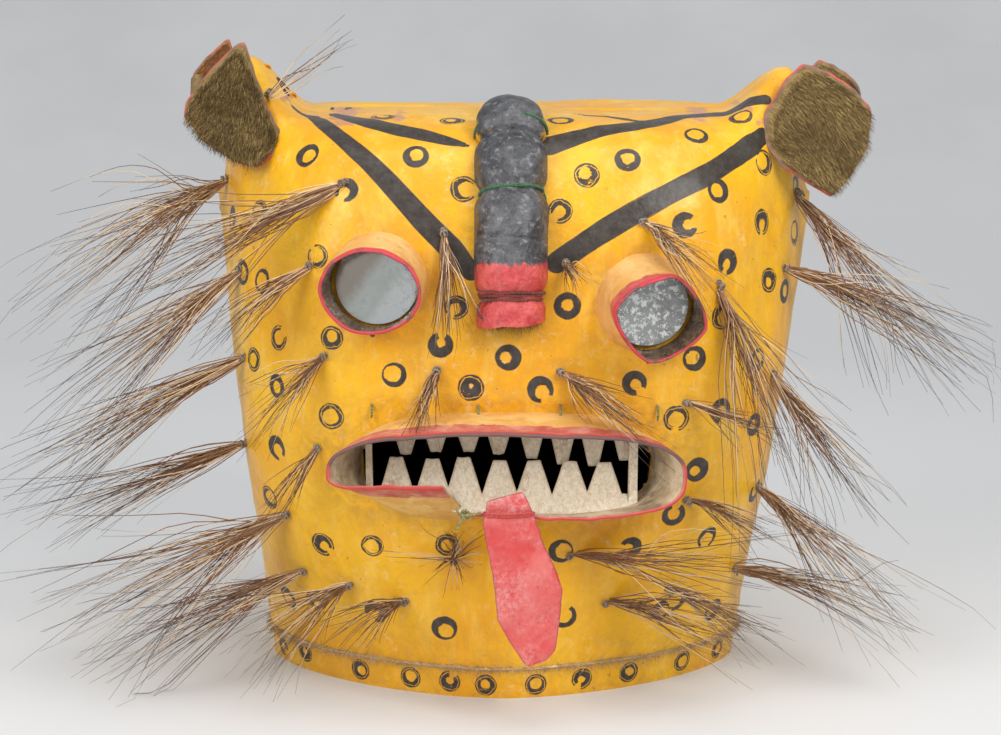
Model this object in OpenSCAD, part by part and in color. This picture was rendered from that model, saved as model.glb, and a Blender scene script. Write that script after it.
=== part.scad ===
// Helmet mask of a spotted cat, made of painted rawhide panels laced at the sides.
// Frame: +Z up, the face looks along -Y, origin at the centre of the rim it stands on.

/* [Helmet] */
// Half width of the helmet at the rim
rim_half_w = 141; // [120:1:165]
// Half width of the helmet at the brow
brow_half_w = 179; // [150:1:210]
// Height of the brow, where the helmet is widest
brow_z = 300; // [250:1:340]
// Height of the crown seam in the middle
crown_z = 334; // [300:1:380]
// Depth of the face from the side seams to the chin at the rim
chin_depth = 103; // [90:1:130]
// Depth of the face from the side seams to the cheeks
face_depth = 124; // [105:1:150]
// Depth of the back panel behind the side seams
back_depth = 118; // [100:1:145]
// Sideways lean of the brow towards +X
brow_lean = 7; // [0:0.5:12]
// Thickness of the rawhide
hide_t = 3; // [2:0.25:5]
// Height of the neck band below the panels
band_h = 18; // [12:1:30]

/* [Horns] */
// Rise of the left horn above the crown
horn_rise_left = 31; // [0:1:45]
// Rise of the right horn above the crown
horn_rise_right = 24; // [0:1:45]

/* [Ears] */
// Thickness of an ear flap
ear_t = 3; // [2:0.5:5]
// Gap between the two flaps of an ear, which hold the horn
ear_gap = 26; // [16:1:40]
// Lean of the ears towards the back, in degrees
ear_lean = 26; // [10:1:40]

/* [Eyes] */
// Diameter of the mirror discs
mirror_d = 47; // [38:1:52]
// Thickness of a mirror disc
mirror_t = 3; // [2:0.5:5]
// Distance that an eye tube stands out of the face
eye_out = 29; // [18:1:40]
// Height of the eyes
eye_z = 241; // [225:1:250]
// Wall of the eye tubes
eye_wall = 3; // [2:0.25:4]

/* [Mouth] */
// Half width of the mouth ring at its base
mouth_half_w = 96; // [80:1:110]
// Half height of the mouth ring at its base
mouth_half_h = 31; // [27:1:36]
// Height of the middle of the mouth
mouth_z = 143; // [130:1:155]
// Distance that the mouth ring stands out of the face
mouth_out = 42; // [30:1:50]
// Wall of the mouth ring
mouth_wall = 3; // [2:0.25:4]
// Thickness of the teeth strips
tooth_t = 2.5; // [1.5:0.25:4]
// Distance from one lower tooth to the next
tooth_pitch = 19.4; // [17:0.1:22]

/* [Tongue] */
// Width of the tongue
tongue_w = 43; // [30:1:50]
// Length of the tongue below the cord
tongue_l = 86; // [60:1:100]
// Thickness of the tongue
tongue_t = 3; // [2:0.25:5]

/* [Nose] */
// Width of the nose roll
nose_w = 40; // [32:1:48]
// Height of the nose roll above the face
nose_h = 24; // [18:1:30]
// Height of the lower end of the nose
nose_bottom_z = 224; // [215:1:235]
// Length of the nose roll along the face
nose_l = 106; // [95:1:120]
// Wall of the nose roll
nose_wall = 2.5; // [2:0.25:4]

/* [Bristles] */
// Diameter of a bundle of bristles at its hole
bundle_d = 3.4; // [2.5:0.1:5]
// Diameter of the knot around each bundle
knot_d = 6; // [5:0.5:8]
// Thickness of one strand of a bundle
strand_d = 1.2; // [0.8:0.1:2]

/* [Hidden] */
side_names = ["left", "right"];
turn = 360;
golden = 137.5;

// Eyes: centre X, tube direction, half sizes and corner exponent, left then right.
eye_x = [-70, 80];
eye_yaw = [-7, 14];
eye_pitch = [-2, -8];
eye_rim_w = [29, 28.5];
eye_rim_h = [24, 26];
eye_power = [2.0, 1.45];
eye_twist = [0, -14];
eye_base_r = 28;

// Whiskers: root X, root Z, direction, length, spread angle, droop.
whiskers_left = [
    [-163, 294, [-0.80, -0.25, -0.35], 128, 24, 0.18],
    [-89, 301, [-0.82, -0.36, -0.36], 138, 13, 0.10],
    [-152, 246, [-0.80, -0.28, -0.50], 130, 11, 0.08],
    [-108, 255, [-0.72, -0.55, -0.35], 74, 13, 0.12],
    [-150, 195, [-0.86, -0.24, -0.38], 136, 10, 0.06],
    [-100, 205, [-0.66, -0.58, -0.45], 66, 16, 0.08],
    [-152, 140, [-0.90, -0.22, -0.30], 128, 10, 0.05],
    [-105, 151, [-0.50, -0.68, -0.50], 50, 18, 0.08],
    [-124, 106, [-0.84, -0.26, -0.32], 138, 25, 0.06],
    [-115, 70, [-0.80, -0.30, -0.28], 118, 12, 0.06],
    [-88, 66, [-0.70, -0.42, -0.30], 84, 18, 0.10],
    [-56, 58, [-0.70, -0.62, -0.15], 56, 24, 0.10],
    [-28, 85, [0.02, -0.80, 0.55], 46, 42, 0.05],
    [-33, 275, [0.04, -0.62, -0.74], 58, 13, 0.10],
    [-37, 198, [-0.22, -0.82, -0.48], 46, 15, 0.08],
    [-136, 345, [0.62, -0.50, 0.52], 74, 16, 0.02]
];
whiskers_right = [
    [78, 280, [0.60, -0.78, -0.22], 66, 16, 0.14],
    [122, 244, [0.40, -0.34, -0.80], 118, 13, 0.12],
    [163, 246, [0.90, -0.30, -0.14], 120, 14, 0.22],
    [35, 258, [0.10, -0.90, -0.30], 34, 30, 0.05],
    [32, 197, [0.62, -0.72, -0.26], 70, 15, 0.10],
    [103, 178, [0.78, -0.60, -0.05], 58, 15, 0.12],
    [156, 186, [0.56, -0.38, -0.66], 96, 15, 0.12],
    [149, 118, [0.72, -0.32, -0.52], 110, 14, 0.12],
    [137, 64, [0.90, -0.36, -0.06], 104, 12, 0.12],
    [105, 119, [0.80, -0.58, -0.08], 58, 16, 0.12],
    [37, 88, [0.86, -0.48, 0.06], 116, 15, 0.06],
    [58, 57, [0.86, -0.50, 0.02], 86, 16, 0.08],
    [96, 62, [0.78, -0.58, -0.16], 66, 22, 0.12],
    [172, 288, [0.60, -0.34, -0.66], 128, 11, 0.10]
];

// ---- Small helpers ----

function mix(a, b, t) = a + (b - a) * t;
function clamp(v, lo, hi) = min(hi, max(lo, v));
function smooth(a, b, v) = let (t = clamp((v - a) / (b - a), 0, 1)) t * t * (3 - 2 * t);
function unit(v) = v / norm(v);
function signed_pow(v, p) = sign(v) * pow(abs(v), p);
function total(v, i = 0) = i >= len(v) ? 0 : v[i] + total(v, i + 1);

// Point on a superellipse of the given half sizes and power.
function super_point(a, b, power, angle) =
    [a * signed_pow(cos(angle), 2 / power), b * signed_pow(sin(angle), 2 / power)];

// Two unit vectors across a direction.
function across(d) = unit(cross(d, abs(d.z) < 0.9 ? [0, 0, 1] : [1, 0, 0]));
function across2(d) = cross(across(d), d);

function fan_volume(pts, face) =
    total([for (k = [1 : len(face) - 2])
        cross(pts[face[k]], pts[face[k + 1]]) * pts[face[0]]]);
// Triangles of a cap, laced between the first half of its points and the second half.
function cap_faces(n) = [for (j = [0 : floor(n / 2) - 1])
    each (j + 1 < n - 2 - j
        ? [[j, j + 1, n - 1 - j], [j + 1, n - 2 - j, n - 1 - j]]
        : j + 1 < n - 1 - j ? [[j, j + 1, n - 1 - j]] : [])];
function reverse(list) = [for (k = [len(list) - 1 : -1 : 0]) list[k]];

// Skin over cross-sections with equal numbers of points, closed by caps or into a ring.
module loft(sections, closed = false) {
    n = len(sections[0]);
    m = len(sections);
    points = [for (s = sections) each s];
    last = closed ? m - 1 : m - 2;
    sides = [for (i = [0 : last])
        for (j = [0 : n - 1])
            let (a = i * n + j, b = i * n + (j + 1) % n)
            let (c = ((i + 1) % m) * n + (j + 1) % n, d = ((i + 1) % m) * n + j)
            each ((i < m / 2) == (j < n / 2) ? [[a, b, d], [b, c, d]] : [[a, b, c], [a, c, d]])];
    end = (m - 1) * n;
    caps = closed ? [] : concat(
        [for (f = cap_faces(n)) [f[2], f[1], f[0]]],
        [for (f = cap_faces(n)) [end + f[0], end + f[1], end + f[2]]]);
    faces = concat(sides, caps);
    volume = total([for (i = [0 : last]) total([for (j = [0 : 2 * n - 1])
        fan_volume(points, sides[i * 2 * n + j])])])
        + total([for (f = caps) fan_volume(points, f)]);
    polyhedron(points = points, faces = volume > 0 ? [for (f = faces) reverse(f)] : faces);
}

// Tube along a path, with one radius per point and its corners turned by phase.
module tube(path, radii, sides = 6, closed = false, phase = 0) {
    m = len(path);
    loft([for (i = [0 : m - 1])
        let (before = closed ? path[(i + m - 1) % m] : path[max(i - 1, 0)])
        let (after = closed ? path[(i + 1) % m] : path[min(i + 1, m - 1)])
        let (d = unit(after - before), e1 = across(d), e2 = across2(d))
        [for (k = [0 : sides - 1])
            let (a = phase + turn * k / sides)
            path[i] + radii[i] * (cos(a) * e1 + sin(a) * e2)]],
        closed);
}

// Straight rod between two points.
module rod(a, b, d) {
    v = b - a;
    translate(a)
        rotate([0, acos(v.z / norm(v)), atan2(v.y, v.x)])
            cylinder(h = norm(v), d = d, $fn = 16);
}

// ---- Shape of the helmet ----

function half_w(z) = mix(rim_half_w, brow_half_w, z / brow_z);
function lean(z) = brow_lean * clamp(z / brow_z, 0, 1);
function front_depth(z) = mix(chin_depth, face_depth, smooth(0, 0.6 * crown_z, z));
function front_power(z) = mix(1.65, 3.4, smooth(0, 0.5 * crown_z, z));
back_power = 2.5;

// Height of the crown seam at the fraction u of the half width.
function ridge_z(u) =
    let (a = abs(u), rise = u < 0 ? horn_rise_left : horn_rise_right)
    crown_z + rise * smooth(0.66, 0.85, a) - (50 + rise) * smooth(0.87, 1, a);
function crown_power(u) = mix(5, 2, smooth(0.55, 0.88, abs(u)));

function shell_y(u, z, inset, front) =
    let (t = clamp(z / (ridge_z(u) - inset), 0, 1))
    let (power = front ? front_power(z) : back_power)
    let (depth = (front ? front_depth(z) : back_depth) - inset)
    (front ? -1 : 1) * depth
        * pow(max(0, 1 - pow(abs(u), power)), 1 / power)
        * pow(max(0, 1 - pow(t, crown_power(u))), 1 / crown_power(u));
function shell_point(u, z, inset, front) =
    [lean(z) + (half_w(z) - inset) * u, shell_y(u, z, inset, front), z];

// Front surface of the face at a given X and Z, and its outward direction.
function face_y(x, z) = shell_y(clamp((x - lean(z)) / half_w(z), -0.999, 0.999), z, 0, true);
function face_point(x, z) = [x, face_y(x, z), z];
function face_normal(x, z) =
    unit(cross(face_point(x + 1, z) - face_point(x - 1, z),
               face_point(x, z + 1) - face_point(x, z - 1)));

// Fractions from -1 to 1 across a panel, closer together at its side seams.
function panel_us(n) = [for (i = [-n : n]) sign(i) * (1 - pow(1 - abs(i) / n, 2.1))];
// Heights from z0 to the top, closer together near the crown.
function panel_zs(n, z0, top) = [for (j = [0 : n]) top - (top - z0) * pow(1 - j / n, 2.4)];

module panel(columns, rows, front) {
    loft([for (u = panel_us(columns))
        concat(
            [for (z = panel_zs(rows, band_h, ridge_z(u))) shell_point(u, z, 0, front)],
            reverse([for (z = panel_zs(rows, band_h, ridge_z(u) - hide_t))
                shell_point(u, z, hide_t, front)]))]);
}

// Outline of the helmet at height z, all the way round.
function outline(z, inset, n) =
    concat([for (k = [0 : n - 1]) shell_point(cos(180 * k / n), z, inset, true)],
           [for (k = [0 : n - 1]) shell_point(-cos(180 * k / n), z, inset, false)]);

// ---- Hide panels and band ----

mouth_hole_margin = mouth_wall + 0.5;

module mouth_outline(grow) {
    polygon([for (k = [0 : 47])
        super_point(mouth_half_w + grow, mouth_half_h + grow, mouth_power, turn * k / 48)]);
}

module face_hide() {
    color("goldenrod")
        difference() {
            panel(14, 20, true);
            translate([mouth_x, -front_depth(mouth_z) / 2, mouth_z])
                rotate([90, 0, 0])
                    linear_extrude(front_depth(mouth_z))
                        mouth_outline(-mouth_hole_margin);
        }
}

module back_hide() {
    color("goldenrod")
        panel(10, 14, false);
}

// Ring of hide below the panels, cut flat at the rim.
module neck_band() {
    rings = 40;
    spare = 4;
    outer = [for (z = [-spare, band_h]) outline(z, 0, rings)];
    inner = [for (z = [-spare, band_h]) outline(z, hide_t, rings)];
    color("goldenrod")
        difference() {
            loft([for (k = [0 : 2 * rings - 1])
                [outer[0][k], outer[1][k], inner[1][k], inner[0][k]]], true);
            translate([-brow_half_w, -brow_half_w, -2 * spare])
                cube([2 * brow_half_w, 2 * brow_half_w, 2 * spare]);
        }
}

module hem_welt() {
    welt_r = 1.6;
    path = outline(band_h, -0.4, 32);
    color("tan")
        tube(path, [for (p = path) welt_r], 6, true);
}

// ---- Lacing ----

lacing_d = 2.2;
lacing_span = 9;

module side_lacing(side) {
    first_z = band_h + 10;
    last_z = ridge_z(side) - 12;
    stitches = 17;
    color("darkolivegreen")
        for (k = [0 : stitches - 1]) {
            z = mix(first_z, last_z, k / (stitches - 1));
            x = lean(z) + side * (half_w(z) + 0.4);
            rod([x, -lacing_span / 2, z], [x, lacing_span / 2, z + 5], lacing_d);
        }
}

module crown_lacing() {
    stitches = 23;
    color("darkolivegreen")
        for (k = [0 : stitches - 1]) {
            u = mix(-0.8, 0.8, k / (stitches - 1));
            top = ridge_z(u) + 0.4;
            x = lean(top) + half_w(top) * u;
            rod([x, -lacing_span / 2, top], [x + 3, lacing_span / 2, top], lacing_d);
        }
}

// ---- Ears ----

ear_centre = [[-154.5, -52, 340], [181, -52, 326]];
ear_outline = [
    [[5, 38], [11, 21], [21, -6], [29, -20], [25, -29], [14, -38], [1, -35],
     [-18, -22], [-29, -7], [-28, 3], [-15, 21], [1, 37]],
    [[-7, 41], [9, 35], [22, 24], [31, 14], [32, 6], [28, -12], [18, -30], [7, -41],
     [-4, -35], [-22, -22], [-31, -7], [-30, 11], [-16, 32]]
];

// Folded flap: a large leaf before the horn, a small one behind it, and a fold at the outer edge.
module ear(index) {
    side = index == 0 ? -1 : 1;
    back_share = 0.62;
    back_shift = [side * 10, 22];
    fold_x = 24;
    fold_h = 16;
    color("saddlebrown")
        translate(ear_centre[index])
            rotate([90 - ear_lean, 0, 0]) {
                linear_extrude(ear_t)
                    polygon(ear_outline[index]);
                translate([0, 0, -ear_gap - ear_t])
                    linear_extrude(ear_t)
                        polygon([for (p = ear_outline[index]) back_shift + back_share * p]);
                translate([side * fold_x - ear_t / 2, 2, -ear_gap - ear_t])
                    cube([ear_t, fold_h, ear_gap + 2 * ear_t]);
            }
}

// ---- Eyes ----

function eye_dir(i) = [sin(eye_yaw[i]) * cos(eye_pitch[i]),
                       -cos(eye_yaw[i]) * cos(eye_pitch[i]),
                       sin(eye_pitch[i])];
function eye_centre(i) = face_point(eye_x[i], eye_z + (i == 0 ? 6 : -6));
function eye_rim_centre(i) = eye_centre(i) + eye_out * eye_dir(i);

function eye_base_point(i, r, angle) =
    let (x = eye_centre(i).x + r * cos(angle), z = eye_centre(i).z + r * sin(angle))
    [x, face_y(x, z) + 1, z];
function eye_rim_point(i, inset, angle) =
    let (d = eye_dir(i), e1 = unit(cross([0, 0, 1], -d)), e2 = cross(-d, e1))
    let (p = super_point(eye_rim_w[i] - inset, eye_rim_h[i] - inset, eye_power[i],
                         angle - eye_twist[i]))
    let (q = [p.x * cos(eye_twist[i]) - p.y * sin(eye_twist[i]),
              p.x * sin(eye_twist[i]) + p.y * cos(eye_twist[i])])
    eye_rim_centre(i) - q.x * e1 + q.y * e2;

module eye_tube(i) {
    n = 32;
    color("khaki")
        loft([for (k = [0 : n - 1])
            let (a = turn * k / n)
            let (b0 = eye_base_point(i, eye_base_r, a), b1 = eye_base_point(i, eye_base_r - eye_wall, a))
            let (r0 = eye_rim_point(i, 0, a), r1 = eye_rim_point(i, eye_wall, a))
            [b0, mix(b0, r0, 0.5), r0, r1, mix(b1, r1, 0.5), b1]], true);
}

// Disc that rests on the face hide inside its tube.
module eye_mirror(i) {
    nrm = face_normal(eye_x[i], eye_centre(i).z);
    color("silver")
        translate(eye_centre(i) - 0.6 * nrm)
            rotate([0, acos(nrm.z), atan2(nrm.y, nrm.x)])
                cylinder(h = mirror_t, d = mirror_d, $fn = 64);
}

module eye_threads() {
    color("seagreen")
        for (i = [0, 1]) {
            low = eye_rim_point(i, 0, 270 + eye_twist[i]);
            high = eye_base_point(i, eye_base_r, 270);
            rod(mix(low, high, 0.15), mix(low, high, 0.4), 1.6);
        }
}

// ---- Mouth ----

mouth_power = 2.9;
mouth_x = 2;
mouth_start = 257;
mouth_sweep = 355;

function mouth_base_point(inset, angle) =
    let (p = super_point(mouth_half_w - inset, mouth_half_h - inset, mouth_power, angle))
    let (x = mouth_x + p.x, z = mouth_z + p.y)
    [x, face_y(x, z) + 1, z];

// The rim is lower than the base at its top, and its lower edge steps up on the left.
mouth_front_y = face_y(mouth_x, mouth_z) - mouth_out;
mouth_rim_top = 25;
mouth_rim_low_left = 7;
mouth_rim_low_right = 22;
function mouth_rim_point(inset, angle, left) =
    let (p = super_point(mouth_half_w + 4 - inset, 1, mouth_power, angle))
    let (low = left ? mouth_rim_low_left + 4 * smooth(60, 96, -p.x)
                    : mouth_rim_low_right + 4 * smooth(0, 70, p.x))
    let (up = p.y > 0 ? mouth_rim_top - inset : low - inset)
    let (z = mouth_z + 1 + p.y * up)
    [mouth_x + p.x, mouth_front_y + 0.0009 * p.x * p.x, z];

module mouth_ring() {
    n = 56;
    color("wheat")
        loft([for (k = [0 : n])
            let (a = mouth_start - mouth_sweep * k / n, left = k < n / 2)
            let (b0 = mouth_base_point(0, a), b1 = mouth_base_point(mouth_wall, a))
            let (r0 = mouth_rim_point(0, a, left), r1 = mouth_rim_point(mouth_wall, a, left))
            [b0, mix(b0, r0, 0.5), r0, r1, mix(b1, r1, 0.5), b1]]);
}

module mouth_stitches() {
    spots = [[-76, 35], [-16, 35], [30, 35], [85, 33]];
    color("olive")
        for (s = spots) {
            p = face_point(mouth_x + s.x, mouth_z + s.y);
            rod(p + [0, 1, 0], p - [0, 4, 5], 1.6);
        }
}

// Blunt teeth side by side on a strip, as points from left to right.
function tooth_line(count, pitch, tip_w, base_w, length) = [
    for (k = [0 : count - 1])
        let (x = (k - (count - 1) / 2) * pitch)
        each [[x - base_w / 2, 0], [x - tip_w / 2, length], [x + tip_w / 2, length], [x + base_w / 2, 0]]
];
module teeth_strip(count, pitch, tip_w, base_w, length, strip_h) {
    line = tooth_line(count, pitch, tip_w, base_w, length);
    span = count * pitch / 2 + 4;
    linear_extrude(tooth_t)
        polygon(concat([[-span, -strip_h], [-span, 0]], line, [[span, 0], [span, -strip_h]]));
}

teeth_gap = 4.8;
teeth_meet_z = mouth_z + 6.3;
upper_teeth_out = 3;
lower_teeth_out = 9;
upper_tooth_l = 18;
lower_tooth_l = 23;
teeth_bite = 0.4;

// Block that fills the inside of the ring at a distance out from its base.
module ring_inside(out) {
    n = 56;
    translate([0, face_y(mouth_x, mouth_z) - out + tooth_t, 0])
        rotate([90, 0, 0])
            linear_extrude(2 * tooth_t)
                polygon([for (k = [0 : n - 1])
                    let (a = mouth_start - turn * k / n, left = k < n / 2, grow = mouth_wall - teeth_bite)
                    let (p = mix(mouth_base_point(grow, a), mouth_rim_point(grow, a, left),
                                 out / mouth_out))
                    [p.x, p.z]]);
}

module upper_teeth() {
    color("tan")
        intersection() {
            translate([mouth_x + 6, face_y(mouth_x, mouth_z) - upper_teeth_out,
                       teeth_meet_z + teeth_gap / 2 + upper_tooth_l])
                rotate([-90, 0, 0])
                    teeth_strip(8, 17.5, 6, 13, upper_tooth_l, 9);
            ring_inside(upper_teeth_out);
        }
}

module lower_teeth() {
    color("tan")
        intersection() {
            translate([mouth_x + 1, face_y(mouth_x, mouth_z) - lower_teeth_out,
                       teeth_meet_z - teeth_gap / 2 - lower_tooth_l])
                rotate([90, 0, 0])
                    teeth_strip(7, tooth_pitch, 5.5, 18.5, lower_tooth_l, 15);
            ring_inside(lower_teeth_out);
        }
}

// ---- Tongue ----

tongue_gap = 2;
tongue_x = mouth_x + 7;
tongue_y = mouth_front_y - tongue_gap - tongue_t / 2;
tongue_z = mouth_z + 1 - mouth_rim_low_right + mouth_wall + 1;
tongue_tab = 11;
tongue_skew = 8;
tongue_cord_d = 2.2;

// Flat piece of hide that hangs from the cord round its neck.
module tongue() {
    w = tongue_w / 2;
    color("firebrick")
        translate([tongue_x, tongue_y + tongue_t / 2, tongue_z])
            rotate([90, 0, 0])
                linear_extrude(tongue_t)
                    polygon([[-w + 8, tongue_tab], [w - 8, tongue_tab + 2], [w - 6, 0],
                             [w, -0.3 * tongue_l], [w + 3, -0.6 * tongue_l],
                             [w - 2 + tongue_skew / 2, -0.75 * tongue_l],
                             [tongue_skew + 7, -0.97 * tongue_l], [tongue_skew, -tongue_l],
                             [tongue_skew - 7, -0.95 * tongue_l], [-w + 9, -0.72 * tongue_l],
                             [-w + 3, -0.45 * tongue_l], [-w, -0.1 * tongue_l], [-w + 2, 0]]);
}

module tongue_cord() {
    w = tongue_w / 2 - 3;
    d = tongue_t / 2 + tongue_cord_d / 2 - 0.4;
    path = [[-w - 2, 0, 0], [-w, -d, 0], [0, -d - 0.5, 0], [w - 2, -d, 0], [w, 0, 0], [w - 2, d, 0],
            [0, d, 0], [-w, d, 0]];
    color("sienna")
        translate([tongue_x, tongue_y, tongue_z])
            tube(path, [for (p = path) tongue_cord_d / 2], 8, true);
}

// Knot on the lower edge of the ring, beside the tongue.
module tongue_knot() {
    x = tongue_x - tongue_w / 2 - 5;
    color("sienna")
        translate([x, mouth_front_y - 0.5, tongue_z - 1])
            sphere(d = 7, $fn = 24);
}

// ---- Nose ----

nose_x = 4.5;
nose_steps = 60;
nose_top_z = 0.9996 * ridge_z(0);
nose_line = [for (k = [0 : nose_steps])
    let (z = nose_top_z - (nose_top_z - nose_bottom_z) * pow(1 - k / nose_steps, 2.4))
    face_point(nose_x, z)];
function path_length(line, k) = k <= 0 ? 0 : path_length(line, k - 1) + norm(line[k] - line[k - 1]);
nose_lengths = [for (k = [0 : nose_steps]) path_length(nose_line, k)];
nose_ys = [for (k = [0 : nose_steps]) [nose_lengths[k], nose_line[k].y]];
nose_zs = [for (k = [0 : nose_steps]) [nose_lengths[k], nose_line[k].z]];
function nose_at(s) = [nose_x, lookup(s, nose_ys), lookup(s, nose_zs)];
function nose_up(s) = unit(nose_at(s + 2) - nose_at(s - 2));
function nose_out(s) = cross([1, 0, 0], nose_up(s));

nose_red_s = 15;
nose_middle_s = 68;
nose_top_s = nose_l - 3;
nose_cord_d = 2.4;
function nose_pinch(s) =
    total([for (c = [nose_red_s, nose_middle_s, nose_top_s]) exp(-pow((s - c) / 5, 2))]);
function nose_half_w(s) = nose_w / 2 - 2.2 * nose_pinch(s) - 1.5 * smooth(25, 0, s);

// Half-round section of the nose: the arch, then its flat foot.
function nose_section(s, grow, foot = 0.5) =
    let (a = nose_half_w(s) + grow)
    let (h = nose_h * (1 - 0.34 * smooth(45, nose_l, s)) * nose_half_w(s) / (nose_w / 2) + grow)
    [for (k = [0 : 14])
        let (p = super_point(a, h, 2.4, 180 * k / 14))
        nose_at(s) + [p.x, 0, 0] + (p.y - foot) * nose_out(s)];

nose_stations = 26;
module nose_roll() {
    color("dimgray")
        loft([for (k = [0 : nose_stations])
            let (s = nose_l * k / nose_stations)
            concat(nose_section(s, 0), reverse(nose_section(s, -nose_wall)))]);
}

cap_l = 24;
module nose_cap() {
    color("dimgray")
        loft([for (k = [0 : 8])
            let (q = k / 8, s = nose_l - 0.3 + cap_l * q, closing = 0.65 * sqrt(max(0, 1 - q * q)) + 0.35)
            let (arch = nose_section(s, 0.2))
            [for (p = arch) nose_at(s) + closing * (p - nose_at(s)) + 2 * nose_out(s)]]);
}

module nose_stuffing() {
    margin = nose_wall + 0.5;
    color("saddlebrown")
        loft([for (k = [1 : nose_stations - 1])
            nose_section(nose_l * k / nose_stations, -margin, 0.1)]);
}

module nose_cord(s, turns) {
    for (k = [0 : turns - 1]) {
        at = s + k * nose_cord_d * 1.02;
        arch = nose_section(at, nose_cord_d / 2 - 0.5);
        tube(arch, [for (p = arch) nose_cord_d / 2], 6, false);
    }
}

module nose_cord_top() {
    color("darkgreen")
        nose_cord(nose_top_s - 3, 1);
}

module nose_cord_middle() {
    color("darkgreen")
        nose_cord(nose_middle_s, 1);
}

module nose_cord_red() {
    color("sienna")
        nose_cord(nose_red_s, 2);
}

// ---- Bristles ----

strand_steps = 5;
strands = 6;
// The strands leave the bundle side by side within this radius.
start_r = 0.8 * bundle_d / 2;

function strand_path(w, k) =
    let (root = face_point(w[0], w[1]), d = unit(w[2]), e1 = across(d), e2 = across2(d))
    let (share = sqrt((k + 0.5) / strands), open = w[4] * share)
    let (side = cos(golden * k) * e1 + sin(golden * k) * e2)
    let (dir = cos(open) * d + sin(open) * side, reach = w[3] * (1 - 0.08 * (k % 3)))
    [for (j = [0 : strand_steps])
        let (q = j / strand_steps)
        let (p = root + start_r * share * side + reach * q * dir - [0, 0, w[5] * w[3] * q * q])
        [p.x, p.y, max(p.z, strand_d)]];

module whisker(w) {
    root = face_point(w[0], w[1]);
    out = face_normal(w[0], w[1]);
    color("saddlebrown") {
        rod(root - (hide_t + 1) * out, root + 4 * unit(w[2]), bundle_d);
        for (k = [0 : strands - 1])
            tube(strand_path(w, k),
                 [for (j = [0 : strand_steps]) strand_d / 2 * (1 - 0.75 * j / strand_steps)],
                 4, false, golden * k);
    }
}

module whisker_knots() {
    color("gray")
        for (w = concat(whiskers_left, whiskers_right))
            translate(face_point(w[0], w[1]) + 0.5 * face_normal(w[0], w[1]))
                sphere(d = knot_d, $fn = 20);
}

// ---- Assembly ----

face_hide();
back_hide();
neck_band();
hem_welt();
crown_lacing();
side_lacing(-1);  // side_lacing_left
side_lacing(1);  // side_lacing_right
for (i = [0, 1]) {
    ear(i);
    eye_tube(i);
    eye_mirror(i);
}
eye_threads();
mouth_ring();
mouth_stitches();
upper_teeth();
lower_teeth();
tongue();
tongue_cord();
tongue_knot();
nose_roll();
nose_cap();
nose_stuffing();
nose_cord_top();
nose_cord_middle();
nose_cord_red();
whisker_knots();
for (i = [1 : len(whiskers_left)])
    whisker(whiskers_left[i - 1]);
for (i = [1 : len(whiskers_right)])
    whisker(whiskers_right[i - 1]);
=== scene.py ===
import math

import bpy
import numpy as np
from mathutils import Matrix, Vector


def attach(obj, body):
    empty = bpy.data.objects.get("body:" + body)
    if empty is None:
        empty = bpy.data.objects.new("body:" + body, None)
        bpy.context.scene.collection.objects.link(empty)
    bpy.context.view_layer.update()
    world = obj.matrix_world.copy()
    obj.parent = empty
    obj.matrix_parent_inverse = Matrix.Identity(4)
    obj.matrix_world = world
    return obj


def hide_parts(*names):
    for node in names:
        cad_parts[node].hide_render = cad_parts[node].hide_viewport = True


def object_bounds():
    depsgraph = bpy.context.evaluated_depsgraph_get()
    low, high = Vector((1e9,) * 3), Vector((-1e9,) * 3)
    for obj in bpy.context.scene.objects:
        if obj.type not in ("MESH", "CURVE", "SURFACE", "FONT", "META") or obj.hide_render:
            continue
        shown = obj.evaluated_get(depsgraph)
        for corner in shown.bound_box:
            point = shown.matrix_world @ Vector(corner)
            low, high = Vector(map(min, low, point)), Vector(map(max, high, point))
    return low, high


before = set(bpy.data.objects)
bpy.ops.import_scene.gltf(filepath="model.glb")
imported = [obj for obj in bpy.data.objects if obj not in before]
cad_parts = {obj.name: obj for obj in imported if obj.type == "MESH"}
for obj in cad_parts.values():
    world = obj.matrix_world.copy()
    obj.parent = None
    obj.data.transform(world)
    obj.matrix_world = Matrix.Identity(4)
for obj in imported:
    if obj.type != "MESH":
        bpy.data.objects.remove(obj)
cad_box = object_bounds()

scene = bpy.context.scene
MM = 0.001
TURN = 2 * math.pi

# ---- Camera ----

ELEVATION = math.radians(11)
camera = bpy.data.objects.new("camera", bpy.data.cameras.new("camera"))
scene.collection.objects.link(camera)
camera.data.sensor_width = 36
camera.data.lens = 97.8
camera.data.shift_x = -0.0025
camera.data.shift_y = 0.0135
camera.location = (0, -1.65 * math.cos(ELEVATION), 0.168 + 1.65 * math.sin(ELEVATION))
camera.rotation_euler = (math.pi / 2 - ELEVATION, 0, 0)
scene.camera = camera

# ---- Numbers and noise ----


def mix(a, b, t):
    return a + (b - a) * t


def smooth(a, b, v):
    t = np.clip((v - a) / (b - a), 0, 1)
    return t * t * (3 - 2 * t)


def bump(v, centre, width):
    return np.exp(-(((v - centre) / width) ** 2))


def lattice(i, j, k, seed):
    h = i.astype(np.uint64) * np.uint64(73856093) ^ j.astype(np.uint64) * np.uint64(19349663)
    h ^= k.astype(np.uint64) * np.uint64(83492791) ^ np.uint64(seed * 2654435 + 977)
    h &= np.uint64(0xFFFFFFFF)
    h = (h ^ (h >> np.uint64(15))) * np.uint64(2246822519) & np.uint64(0xFFFFFFFF)
    h = (h ^ (h >> np.uint64(13))) * np.uint64(3266489917) & np.uint64(0xFFFFFFFF)
    return (h & np.uint64(0xFFFF)).astype(float) / 32767.5 - 1


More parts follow.
